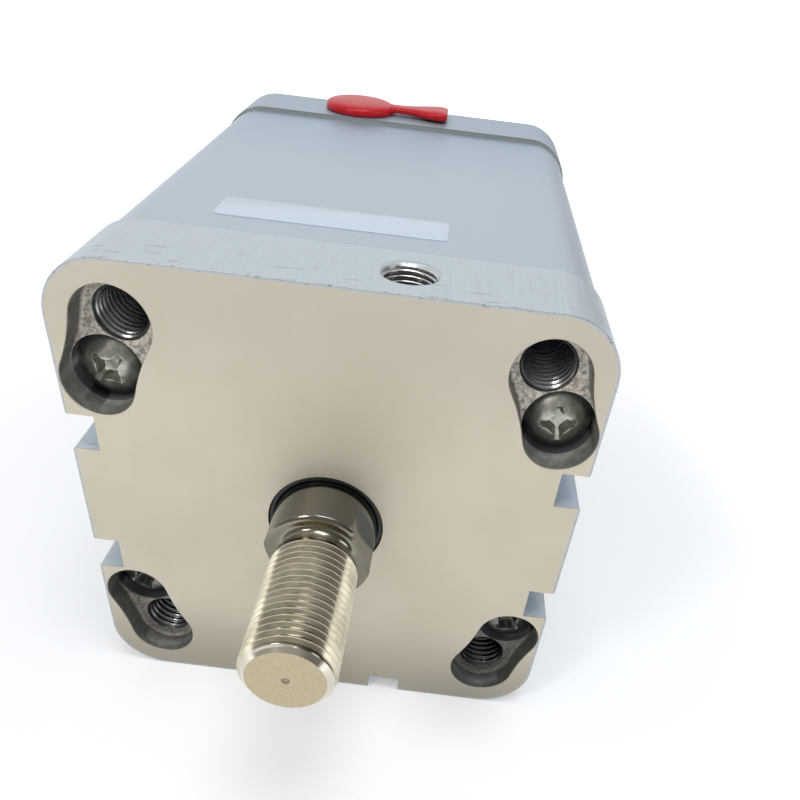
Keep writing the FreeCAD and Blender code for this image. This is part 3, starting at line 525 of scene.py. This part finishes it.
# %% [markdown]
# ## Meshes from rows of points
#
# Nearly every small piece here is round, so it is a grid of points: rows along its axis and
# columns round it. A row is a list of points, and neighbouring rows are joined by faces.
# Points that fall together, such as those on the axis, are merged afterwards, and that
# closes the ends. `stand` turns the axis to where the piece points.

# %% Mesh helpers
def stand(place, along="X"):
    """Moves the axis of a piece made along X to a place in millimetres, and turns it."""
    turn = {"X": Matrix(), "-X": Matrix.Rotation(math.pi, 4, "Z"),
            "Z": Matrix.Rotation(-math.pi / 2, 4, "Y")}[along]
    return Matrix.Translation(place) @ turn


def grid(rows):
    """Corners and faces of a sheet whose rows are closed rings."""
    count = len(rows[0])
    corners = [corner for row in rows for corner in row]
    faces = [(row * count + column, row * count + (column + 1) % count,
              (row + 1) * count + (column + 1) % count, (row + 1) * count + column)
             for row in range(len(rows) - 1) for column in range(count)]
    return corners, faces


def capped(rows):
    """A grid of rows whose first and last row are closed by a face each."""
    corners, faces = grid(rows)
    count, last = len(rows[0]), len(corners)
    faces += [tuple(range(count - 1, -1, -1)), tuple(range(last - count, last))]
    return corners, faces


def spun(profile, angles):
    """A profile of (along, radius) pairs turned about X."""
    return grid([[(x, radius * math.cos(angle), radius * math.sin(angle))
                  for angle in angles] for x, radius in profile])


def smooth(mesh, sharp):
    """The mesh shaded smooth, but for edges that bend by more than sharp degrees."""
    mesh.shade_smooth()
    mesh.set_sharp_from_angle(angle=math.radians(sharp))
    return mesh


def mesh_from(name, sheets, place=Matrix(), sharp=35):
    """One clean mesh from sheets of corners in millimetres, with sharp edges kept."""
    build = bmesh.new()
    for corners, faces in sheets:
        points = [build.verts.new(place @ Vector(corner) * MM) for corner in corners]
        for face in faces:
            build.faces.new([points[index] for index in face])
    bmesh.ops.remove_doubles(build, verts=build.verts, dist=1e-7)
    bmesh.ops.dissolve_degenerate(build, edges=build.edges, dist=1e-7)
    bmesh.ops.recalc_face_normals(build, faces=build.faces)
    mesh = bpy.data.meshes.new(name)
    build.to_mesh(mesh)
    build.free()
    return smooth(mesh, sharp)


def put(name, data):
    """Puts a mesh, a lamp or a camera in the scene, as an object."""
    thing = bpy.data.objects.new(name, data)
    bpy.context.scene.collection.objects.link(thing)
    return thing


def place_piece(name, mesh, body, slot, *materials, replaces=()):
    """Puts a mesh in the scene as a piece that rides on a body of the CAD part."""
    piece = put(name, mesh)
    for material in materials:
        mesh.materials.append(material)
    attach(piece, body)
    if replaces:
        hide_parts(*replaces)
    print(f"{name}: {len(mesh.polygons)} faces")


def baked(mesh, *steps):
    """The mesh after some modifiers, each given as its type and its settings."""
    helper = put("helper", mesh)
    for kind, settings in steps:
        modifier = helper.modifiers.new(kind, kind)
        for name, value in settings.items():
            setattr(modifier, name, value)
    shown = helper.evaluated_get(bpy.context.evaluated_depsgraph_get())
    result = bpy.data.meshes.new_from_object(shown)
    bpy.data.objects.remove(helper)
    return result

TURN = [math.tau * step / 96 for step in range(96)]
print("a full turn has", len(TURN), "columns")

# %% [markdown]
# ## The end caps
#
# CAD gives the casting with its pockets, grooves and ports, but its threaded holes are
# plain cores. The cap is copied, and the walls of those holes are pushed outwards to make
# room for sleeves with real thread turns. A point belongs to such a wall when it is one
# core's radius away from the hole's axis, within a few hundredths. Weighted normals let the
# small bevels bend the light while the big faces stay flat, which is how a real edge
# catches a highlight.

# %% Cap meshes with room for the threads
MOUNTS = [(y, z) for y in (-SPACING, SPACING) for z in (-SPACING, SPACING)]
PORTS = {"front_cap": (-PORT_X, PORT_Y), "rear_cap": (PORT_X - LENGTH, -PORT_Y)}
ROOM = 4.95                                 # radius of the walls that are pushed outwards
PORT_FLOOR, PORT_RIM = 38.4, 46.717         # height of a port's bottom and of its mouth


def widened(mesh, port):
    """Pushes the walls of the threaded holes outwards, to the depth of a thread."""
    for vertex in mesh.vertices:
        x, y, z = vertex.co / MM
        for hole_y, hole_z in MOUNTS:
            reach = math.hypot(y - hole_y, z - hole_z)
            if abs(reach - MOUNT_CORE) < 0.03:
                y, z = (hole + (here - hole) * ROOM / reach
                        for here, hole in ((y, hole_y), (z, hole_z)))
        reach = math.hypot(x - port[0], y - port[1])
        if z > PORT_FLOOR and abs(reach - PORT_CORE) < 0.03:
            x, y = (hole + (here - hole) * ROOM / reach
                    for here, hole in ((x, port[0]), (y, port[1])))
            z = PORT_RIM if z > 45 else z
        vertex.co = Vector((x, y, z)) * MM
    return mesh


def cap_mesh(node):
    """The CAD cap with wide holes, its tiny faces joined and its edges sharp."""
    mesh = widened(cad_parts[node].data.copy(), PORTS[node])
    mesh.materials.clear()
    build = bmesh.new()
    build.from_mesh(mesh)
    bmesh.ops.remove_doubles(build, verts=build.verts, dist=1e-7)
    bmesh.ops.dissolve_limit(build, angle_limit=math.radians(0.5), verts=build.verts,
                             edges=build.edges)
    build.to_mesh(mesh)
    build.free()
    return baked(smooth(mesh, 50), ("WEIGHTED_NORMAL", {"keep_sharp": True, "weight": 60}))

for node in PORTS:
    place_piece(node + "_casting", cap_mesh(node), "cylinder_body", "cap_aluminium",
                cap_material, replaces=[node])

# %% [markdown]
# ## Round corners at the bottom of the pockets
#
# A die casting can't have a sharp inner corner: where a pocket's wall meets its floor there
# is a small hollow round. It is a strip of its own that lies in that corner. It follows the
# pocket's outline, two round lobes joined by slightly hollow arcs, and runs out to nothing
# where the screw's counterbore takes the floor away.

# %% Pocket fillets
MOUNT_LOBE, SCREW_LOBE = ((SPACING, SPACING), 6.8), (SCREW_PLACE, 6.45)
HOLLOW = 35                                 # radius of the arcs between the two lobes
LEDGE = 5.1                                 # the mounting hole's edge on the pocket's floor
LARGEST_ROUND, SMALLEST_ROUND, BURIED = 0.95, 0.04, -0.04


def pocket_outline():
    """Points of the outline round the mounting hole, each with its inward direction."""
    (mount, wide), (screw_place, narrow) = MOUNT_LOBE, SCREW_LOBE
    mount, screw_place = Vector(mount), Vector(screw_place)
    apart = (screw_place - mount).length
    along = (screw_place - mount) / apart
    across = Vector((-along.y, along.x))
    forward = ((HOLLOW + wide) ** 2 - (HOLLOW + narrow) ** 2 + apart ** 2) / (2 * apart)
    sideways = math.sqrt((HOLLOW + wide) ** 2 - forward ** 2)
    track = []
    for side in (-1, 1):
        centre = mount + along * forward + across * sideways * side
        first, last = (screw_place - centre).normalized(), (mount - centre).normalized()
        arc = [first.slerp(last, step / 24) for step in range(25)]
        arc = [(centre + out * HOLLOW, out) for out in arc]
        track.append(arc)
    swing = [(track[0][-1][0] - mount).normalized(), -along,
             (track[1][-1][0] - mount).normalized()]
    round_part = [a.slerp(b, step / 16)
                  for a, b in zip(swing, swing[1:]) for step in range(1, 16)]
    return track[0] + [(mount + out * wide, -out) for out in round_part] + track[1][::-1]


def fillet_sheets(floor, up):
    """The hollow strips of all four pockets; floor is their depth and up leaves it."""
    rows = []
    for point, inward in pocket_outline():
        ledge = (point - Vector(MOUNT_LOBE[0])).length - LEDGE
        ledge = min(ledge, (point - Vector(SCREW_LOBE[0])).length - SCREW_LOBE[1])
        size = min(LARGEST_ROUND, 0.75 * ledge)
        if size < SMALLEST_ROUND:
            continue
        bend = [(size * (1 - math.cos(math.pi / 12 * step)),
                 size * (1 - math.sin(math.pi / 12 * step))) for step in range(7)]
        loop = [(BURIED, size)] + bend + [(size, BURIED), (BURIED, BURIED)]
        rows.append([(floor + up * high, *(point + inward * deep)) for deep, high in loop])
    corners, faces = capped(rows)
    return [([(x, y * side, z * level) for x, y, z in corners], faces)
            for side in (-1, 1) for level in (-1, 1)]

for end, floor_depth, up in (("front", -POCKET, 1), ("rear", POCKET - LENGTH, -1)):
    place_piece(end + "_pocket_fillets",
                mesh_from(end + "_fillets", fillet_sheets(floor_depth, up), sharp=45),
                "cylinder_body", "cap_aluminium", cap_material)

# %% [markdown]
# ## Thread turns
#
# A screw thread is a profile swept along a helix. The rows of a grid can lean: each column
# is moved along by its share of one turn, so that the rows themselves are the helix and the
# crests stay sharp. Where the lean carries a point past the end, it stops at the end. A
# limit on the radius makes the run-in and the chamfer.

# %% Helical sheets
def wound(start, finish, pitch, section, limit, angles, inside=False):
    """A thread's sheet from start to finish along X; section holds (share, radius)."""
    along = []
    for turn in range(-1, math.ceil((finish - start) / pitch) + 1):
        along += [(start + (turn + share) * pitch, radius) for share, radius in section]
    choose = max if inside else min
    rows = []
    for x_row, radius in along:
        row = []
        for angle in angles:
            x = min(max(x_row + pitch * angle / math.tau, start), finish)
            r = choose(radius, limit(x))
            row.append((x, r * math.cos(angle), r * math.sin(angle)))
        rows.append(row)
    corners, faces = grid(rows)
    count, step = len(angles), len(section)
    leaned = []
    for index, face in enumerate(faces):
        row, column = divmod(index, count)
        if column < count - 1:
            leaned.append(face)
        elif row + step + 1 < len(rows):
            leaned.append((row * count + column, (row + step) * count,
                           (row + step + 1) * count, (row + 1) * count + column))
    return corners, leaned

print("a turn of the rod's thread climbs", PITCH, "mm")

# %% [markdown]
# A cut thread has straight flanks at 60 degrees and thin flat crests. One that was tapped
# in cast metal looks softer, so it gets a wave. A limit is a line through a few knots.

# %% Thread profiles and their limits
def metric(outer, inner):
    """A 60 degree profile between two radii: root, flank, crest, flank."""
    near = (outer - inner) * 0.06
    return [(0.00, inner + near), (0.05, inner), (0.13, inner), (0.18, inner + near),
            (0.51, outer - near), (0.54, outer), (0.62, outer), (0.65, outer - near)]


def rolled(outer, inner):
    """A soft profile, as a tap leaves in cast metal: round crests and round roots."""
    middle, swing = (outer + inner) / 2, (outer - inner) / 2
    return [(step / 10, middle - swing * math.cos(math.tau * step / 10))
            for step in range(10)]


def slope(*knots):
    """A radius that goes straight from knot to knot; a knot is (along, radius)."""
    def radius(x):
        for (x0, r0), (x1, r1) in zip(knots, knots[1:]):
            if x <= x1:
                return r0 + (r1 - r0) * max(x - x0, 0) / (x1 - x0)
        return knots[-1][1]
    return radius

print("turns on the rod:", round((ROD_END - THREAD_START) / PITCH, 1))

# %% [markdown]
# ## Thread sleeves in the mounting holes and ports
#
# Each sleeve is a closed ring: thread turns on the inside, and a plain outside buried in
# the casting. The mouth has the chamfer that a countersink leaves.

# %% Sleeves
def sleeve(name, length, pitch, inner, outer, mouth, place, material):
    """A threaded ring that goes down from place; its chamfered mouth is at the top."""
    limit = slope((0, outer + mouth), (outer + mouth - inner, inner),
                  (length - 1, inner), (length, outer))
    angles = TURN[::2]
    threads = wound(0, length, pitch, rolled(outer, inner), limit, angles, inside=True)
    shell = spun([(length, outer), (length - 0.2, outer + mouth), (0, outer + mouth)],
                 angles)
    mesh = mesh_from(name, [threads, shell], place, sharp=75)
    place_piece(name, mesh, "cylinder_body", "cap_aluminium", material)

down = Matrix.Rotation(math.pi, 4, "Z")     # sleeves are made from their mouth inwards
SUNK = POCKET + 0.03                        # just under the pocket's floor
for end, x, along in (("front", -SUNK, "X"), ("rear", SUNK - LENGTH, "-X")):
    for number, (y, z) in enumerate(MOUNTS):
        sleeve(f"{end}_mounting_thread_{number}", 13.9, PITCH, MOUNT_CORE, MOUNT_ROOT, 0.04,
               stand((x, y, z), along) @ down, tapped_metal)
    port = PORTS[end + "_cap"]
    sleeve(f"{end}_port_thread", 8.1, PORT_PITCH, PORT_CORE, PORT_ROOT, 0.08,
           stand((*port, PORT_RIM - 0.007), "Z") @ down, port_metal)

# %% [markdown]
# ## Piston rod
#
# The whole rod is one closed skin: the chromed shank and the shoulder are spun, the thread
# is wound, and the end face is spun again on the same columns, so that all three join
# without a gap. The wrench flats are made by pulling the points in to 8.5 mm from the axis,
# with extra columns right where the flats meet the round, so their edges are straight. The
# material follows the shape: chrome up to the shoulder, then the thread, then the end face.

# %% Rod mesh
FLAT_REACH = 8.5                            # from the axis to a wrench flat
FLAT_START, FLAT_END = 3.5, 11.5            # where the flats begin and end along the rod
FLAT = math.radians(20)                     # how far the flats are turned
EDGE = math.acos(FLAT_REACH / ROD)
rod_angles = sorted([math.tau * step / 120 for step in range(120)] + [
    (FLAT + half + side) % math.tau for half in (0, math.pi) for side in (-EDGE, EDGE)])


def flattened(sheet):
    """The sheet with its two wrench flats pulled in."""
    corners, faces = sheet
    middle = (0, math.cos(FLAT), math.sin(FLAT))
    pulled = []
    for x, y, z in corners:
        out = y * middle[1] + z * middle[2]
        if FLAT_START - 0.0001 < x < FLAT_END and abs(out) > FLAT_REACH:
            move = math.copysign(FLAT_REACH, out) - out
            y, z = y + move * middle[1], z + move * middle[2]
        pulled.append((x, y, z))
    return pulled, faces

tail = [(-93.7, 0), (-93.7, 4.05), (-114.0, 4.05), (-114.0, 7.0), (-105.23, 7.0),
        (-105.23, 5.56), (-103.07, 5.56), (-103.07, 7.0), (-101.3, 7.0)]
shank = spun(tail + [(-101.3, ROD), (-60, ROD), (3.45, ROD), (FLAT_START, ROD)], rod_angles)
shoulder = [(9.9, 9.99), (10.0, 9.93), (10.25, 9.66), (10.42, 9.3), (10.5, 8.8),
            (10.56, 8.3), (10.7, 7.9), (10.98, 7.55), (11.4, 7.3)]
flat_rows = [(FLAT_START, 9.999), (6, 9.999), (9.5, 9.999)]
flats = flattened(spun(flat_rows + shoulder, rod_angles))
step_face = grid([[(FLAT_START, ROD * math.cos(a), ROD * math.sin(a)) for a in rod_angles],
                  flats[0][:len(rod_angles)]])
neck = spun([(11.4, 7.3), (11.9, 7.15), (12.4, THREAD_ROOT), (THREAD_START, THREAD_ROOT)],
            rod_angles)
run_in = slope((THREAD_START, THREAD_ROOT), (13.9, THREAD), (37.3, THREAD), (ROD_END, 6.5))
thread = wound(THREAD_START, ROD_END, PITCH, metric(THREAD, THREAD_ROOT), run_in,
               rod_angles)
nose = spun([(ROD_END, 6.5), (ROD_END, 6.2), (38.77, 5.0), (ROD_END, 0.55), (38.55, 0.2),
             (38.5, 0)], rod_angles)

# %% Join the rod's parts and give each its finish
SHANK_SLOT, THREAD_SLOT, END_SLOT = range(3)    # in the order of the materials below
rod_mesh = mesh_from("rod", [shank, step_face, flats, neck, thread, nose], sharp=28)
place_piece("turned_rod", rod_mesh, "piston_and_rod", "rod_steel", chrome, turned, faced,
            replaces=["piston_rod"])
for face in rod_mesh.polygons:
    x, y, z = face.center / MM
    if x > ROD_END - 0.35 and math.hypot(y, z) < 6.4:
        face.material_index = END_SLOT
    elif x > 9.95:
        face.material_index = THREAD_SLOT
    else:
        face.material_index = SHANK_SLOT

# %% [markdown]
# ## Wiper
#
# A ring whose thin raised lip lies close to the rod and keeps dirt out. The lip is rounded
# and catches the light, so the profile has a few more points there.

# %% Wiper mesh
rear, front = (corner.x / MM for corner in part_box("rod_wiper"))
wiper_profile = [
    (rear, 10.7), (-2.2, 10.6), (-1.0, 10.12), (-0.5, 10.06), (-0.34, 10.15),
    (front, 10.3), (front, 10.85), (-0.42, 11.05), (-0.7, 11.1), (-1.2, 11.1),
    (-1.2, 13.45), (rear, 13.45), (rear, 10.7)]
wiper_mesh = mesh_from("wiper", [spun(wiper_profile, TURN)], sharp=60)
place_piece("wiper_ring", wiper_mesh, "cylinder_body", "seal_rubber", rubber,
            replaces=["rod_wiper"])

# %% [markdown]
# ## Cap screws
#
# Pan-head screws with a cross recess. The head is spun, and the recess is cut out of it
# with a tapered cross, because a recess has flat walls that no grid of rings would give.
# A small bevel afterwards makes the bright edge that light finds on the real recess.

# %% Screw mesh
HEAD_TOP, HEAD_BEND = 4.6, 7.83             # the head's height and its dome's radius
QUARTERS = ((1, 0), (0, 1), (-1, 0), (0, -1))


def cross(x, reach, half):
    """The outline of a cross recess at one depth."""
    inner, tip = half + 0.95, half * 0.62
    arm = [(reach, -tip), (reach, tip), (inner, half), (half, inner)]
    return [(x, y * c - z * s, y * s + z * c) for c, s in QUARTERS for y, z in arm]


def screw_mesh():
    dome = [(HEAD_TOP - HEAD_BEND + math.sqrt(HEAD_BEND ** 2 - r ** 2), r)
            for r in (5.93, 5.75, 5.4, 4.8, 4.0, 3.2, 2.4, 1.6, 0.8, 0)]
    shank_and_rim = [(-24, 0), (-24, 2.6), (-23.5, 3.0), (0, 3.0), (0, 5.85), (0.15, 6.0),
                     (1.7, 6.0)]
    head = mesh_from("screw", [spun(shank_and_rim + dome, TURN)])
    recess = capped([cross(5.0, 4.1, 1.0), cross(3.9, 3.4, 0.8), cross(2.0, 1.9, 0.42)])
    cutter = put("cutter", mesh_from("cutter", [recess]))
    mesh = baked(head, ("BOOLEAN", {"object": cutter, "operation": "DIFFERENCE"}),
                 ("BEVEL", {"width": 0.09 * MM, "segments": 2, "limit_method": "ANGLE",
                            "angle_limit": math.radians(35)}))
    bpy.data.objects.remove(cutter)
    return smooth(mesh, 40)

# %% Four screws in each cap
SEAT = 9.0                                  # depth of the screws' seats
screw = screw_mesh()
screw_turns = [math.radians(angle) for angle in (24, 44, 50, 8)]
screw_places = [(SCREW_PLACE[0] * side, SCREW_PLACE[1] * level)
                for side in (-1, 1) for level in (-1, 1)]
for end, x, along in (("front", -SEAT, "X"), ("rear", SEAT - LENGTH, "-X")):
    joined = bmesh.new()
    for turn, (y, z) in zip(screw_turns, screw_places):
        one = screw.copy()
        one.transform(Matrix.Scale(1 / MM, 4))
        one.transform(Matrix.Rotation(turn, 4, "X"))
        one.transform(stand((x, y, z), along))
        one.transform(Matrix.Scale(MM, 4))
        joined.from_mesh(one)
    mesh = bpy.data.meshes.new(end + "_screws")
    joined.to_mesh(mesh)
    joined.free()
    place_piece(end + "_pan_screws", mesh, "cylinder_body", "zinc_steel", zinc,
                replaces=[end + "_cap_screws"])

# %% [markdown]
# ## Label
#
# A thin film with rounded corners, stuck on the barrel behind the front port. It is left
# bare: a blank label is all that this part should carry.

# %% Label mesh
def rounded_outline(low, high, radius, steps=6):
    """The outline of a rectangle with rounded corners, as (x, y) pairs."""
    left, right = low[0] + radius, high[0] - radius
    near, far = low[1] + radius, high[1] - radius
    outline = []
    for x, y, first in ((right, far, 0), (left, far, 1), (left, near, 2), (right, near, 3)):
        for step in range(steps + 1):
            angle = math.pi / 2 * (first + step / steps)
            outline.append((x + radius * math.cos(angle), y + radius * math.sin(angle)))
    return outline

film = rounded_outline((-39.4, -26.6), (-28.9, 16.7), 1.2)
film_top = rounded_outline((-39.35, -26.55), (-28.95, 16.65), 1.15)
film_rows = [[(x, y, z) for x, y in outline]
             for outline, z in ((film, 45.95), (film, 46.09), (film_top, 46.12))]
place_piece("label_plate", mesh_from("label", [capped(film_rows)]), "cylinder_body",
            "barrel_aluminium", label_film)

# %% [markdown]
# ## Transport plug
#
# A soft moulded plug keeps dirt out of the rear port until the cylinder is used, with a tab
# to pull it out. The disc and its hollow stem are spun, and the tab is a row of
# cross-sections. A voxel remesh melts them into one skin, and smoothing rounds the corners,
# as soft plastic comes out of its mould.

# %% Pull tab
TAB_SECTIONS = [                            # (along Y, half width, half thickness)
    (4.0, 4.4, 0.95), (6.0, 3.6, 0.95), (8.0, 2.8, 0.9), (9.6, 2.5, 0.85),
    (11.5, 2.55, 0.85), (14.0, 2.9, 0.9), (16.5, 3.7, 1.0), (19.0, 4.7, 1.15),
    (21.0, 5.2, 1.25), (22.8, 5.3, 1.25), (23.8, 5.1, 1.15), (24.25, 4.6, 0.95),
    (24.4, 4.0, 0.7)]


def tab_rows():
    """Cross-sections of the pull tab, from the disc outwards along +Y."""
    rows = []
    for y, half, thick in TAB_SECTIONS:
        middle = 1.35 + 0.1 * (y - 4) / 20
        outline = []
        for step in range(24):
            angle = math.tau * step / 24
            c, s = math.cos(angle), math.sin(angle)
            outline.append((half * math.copysign(abs(c) ** 0.5, c), y,
                            middle + thick * math.copysign(abs(s) ** 0.6, s)))
        rows.append(outline)
    return rows

plug_place = (*PORTS["rear_cap"], SIDE)
plug_tab = mesh_from("tab", [capped(tab_rows())], Matrix.Translation(plug_place))
print(len(TAB_SECTIONS), "sections in the pull tab")

# %% Plug mesh
disc = spun([(-6.5, 2.8), (-6.5, 4.0), (-6.3, 4.21), (0.02, 4.21), (0.02, 9.0),
             (0.35, 9.35), (1.25, 9.4), (1.8, 9.1), (2.2, 8.35), (2.46, 7.2), (2.64, 5.5),
             (2.77, 3.0), (2.8, 0)], TURN)
well = spun([(-6.5, 2.8), (1.0, 2.8), (1.2, 2.6), (1.2, 0)], TURN)
plug_body = mesh_from("plug", [disc, well], stand(plug_place, "Z"))
melt = bmesh.new()
melt.from_mesh(plug_body)
melt.from_mesh(plug_tab)
melt.to_mesh(plug_body)
melt.free()
plug_mesh = baked(plug_body, ("REMESH", {"mode": "VOXEL", "voxel_size": 0.32 * MM}),
                  ("SMOOTH", {"factor": 0.5, "iterations": 6}))
plug_mesh.shade_smooth()
place_piece("pull_plug", plug_mesh, "port_plug", "red_plastic", plug_red,
            replaces=["port_plug"])

# %% [markdown]
# ## Floor, light and camera
#
# The cylinder lies on a plain pale table. To the camera and in mirrors the table also
# glows, so the background is white while the shadow under the part stays.

# %% Floor
TABLE = -SIDE - 0.02                        # just under the caps' base
corners = [(x, y, TABLE) for x, y in ((-4000, -3000), (1500, -3000), (1500, 3000),
                                      (-4000, 3000))]
floor = put("floor", mesh_from("floor", [(corners, [(0, 1, 2, 3)])]))
table = Finish("pale_table")
camera_ray, glossy_ray, through_ray = table.node(
    "ShaderNodeLightPath", give=("Is Camera Ray", "Is Glossy Ray", "Is Transmission Ray"))
seen = camera_ray.larger(glossy_ray).larger(through_ray)
reach = (table.x + 40).away(table.y)
# Near the part the table glows less: painted shade round the part, which the metal mirrors.
glow = table.mix(reach.fade(80, 380), (0.27, 0.27, 0.27), (0.95, 0.95, 0.95))
wear(floor, table.surface(base_color=(0.7, 0.7, 0.7), roughness=0.8,
                          emission_color=table.mix(seen, (0, 0, 0), glow),
                          emission_strength=1.0))
print("the table lies at", TABLE, "mm")

# %% [markdown]
# The world is white to the camera. What metal mirrors is white too on the side behind the
# part, and fades to a room's grey on the viewer's side and to the right, because metal that
# mirrors one even white has no shape. Its light itself is an even, slightly blue grey.

# %% World
studio = Finish("studio", "worlds", "Generated")
camera_ray, glossy_ray = studio.node(
    "ShaderNodeLightPath", give=("Is Camera Ray", "Is Glossy Ray"))
backdrop, room, ambient = (1, 1, 1), (0.42, 0.41, 0.40), (0.50, 0.52, 0.55)
mirrored = studio.mix(studio.x.fade(-200, 600), backdrop, room)
mirrored = studio.mix(studio.y.fade(200, 600) * 0.8, mirrored, (0.16, 0.155, 0.15))
seen = studio.mix(camera_ray, studio.mix(glossy_ray, ambient, mirrored), backdrop)
sky = studio.node("ShaderNodeBackground", values={"Color": seen, "Strength": 1.0})
studio.node("ShaderNodeOutputWorld", values={"Surface": sky})
bpy.context.scene.world = studio.material
print("the world has", len(studio.tree.nodes), "nodes")

# %% [markdown]
# Three square lamps, large enough for soft shadows: a cool one overhead, a warm one from
# the front left, and a weak one that opens the shadows on the right.

# %% Lamps
def lamp(name, place, target, size, watts, colour=(1, 1, 1)):
    """A square soft lamp at a place in metres that looks at a target."""
    light = bpy.data.lights.new(name, "AREA")
    light.size, light.energy, light.color = size, watts, colour
    thing = put(name, light)
    thing.location = place
    ray = Vector(target) - Vector(place)
    thing.rotation_euler = ray.to_track_quat("-Z", "Y").to_euler()
    print(f"lamp {name}: {watts} W")

lamp("overhead", (0.1, 0.05, 0.6), (-0.02, 0, 0), 0.3, 1.7, (0.94, 0.97, 1.0))
lamp("front", (0.45, -0.4, 0.6), (0, 0, 0), 0.17, 1.6, (1.0, 0.96, 0.9))
lamp("right", (0.1, 0.7, 0.35), (-0.06, 0, 0), 0.3, 0.8)

# %% [markdown]
# The camera stands where the photograph was taken: its place and direction come from
# fitting known points of the cylinder to the picture. The fit gives the focal length and
# the middle of the lens in pixels, and Blender wants them as shares of the frame's width.

# %% Camera
FRAME = 800                                 # the picture's width and height in pixels
FOCAL = 753.138
LENS_MIDDLE = (406.486, 549.171)
camera = bpy.data.cameras.new("camera")
camera.sensor_width = 36
camera.lens = FOCAL / FRAME * camera.sensor_width
camera.shift_x = -(LENS_MIDDLE[0] - FRAME / 2) / FRAME
camera.shift_y = (LENS_MIDDLE[1] - FRAME / 2) / FRAME
camera.clip_start = 0.005
viewer = put("camera", camera)
right = Vector((-0.0771735, 0.9926492, 0.0932296))      # the picture's directions,
lower = Vector((0.6458164, 0.1210098, -0.753842))       # seen from the part
ahead = Vector((-0.7595824, 0.0020326, -0.6504079))
origin = Vector((-15.6437, -4.7359, 145.3944))          # the part's origin, from the camera
spot = -(right * origin.x + lower * origin.y + ahead * origin.z) * MM
viewer.matrix_world = Matrix.Translation(spot) @ Matrix(
    (right, -lower, -ahead)).transposed().to_4x4()
bpy.context.scene.camera = viewer
bpy.context.scene.view_settings.view_transform = "Standard"
print("camera at", [round(value, 4) for value in spot])
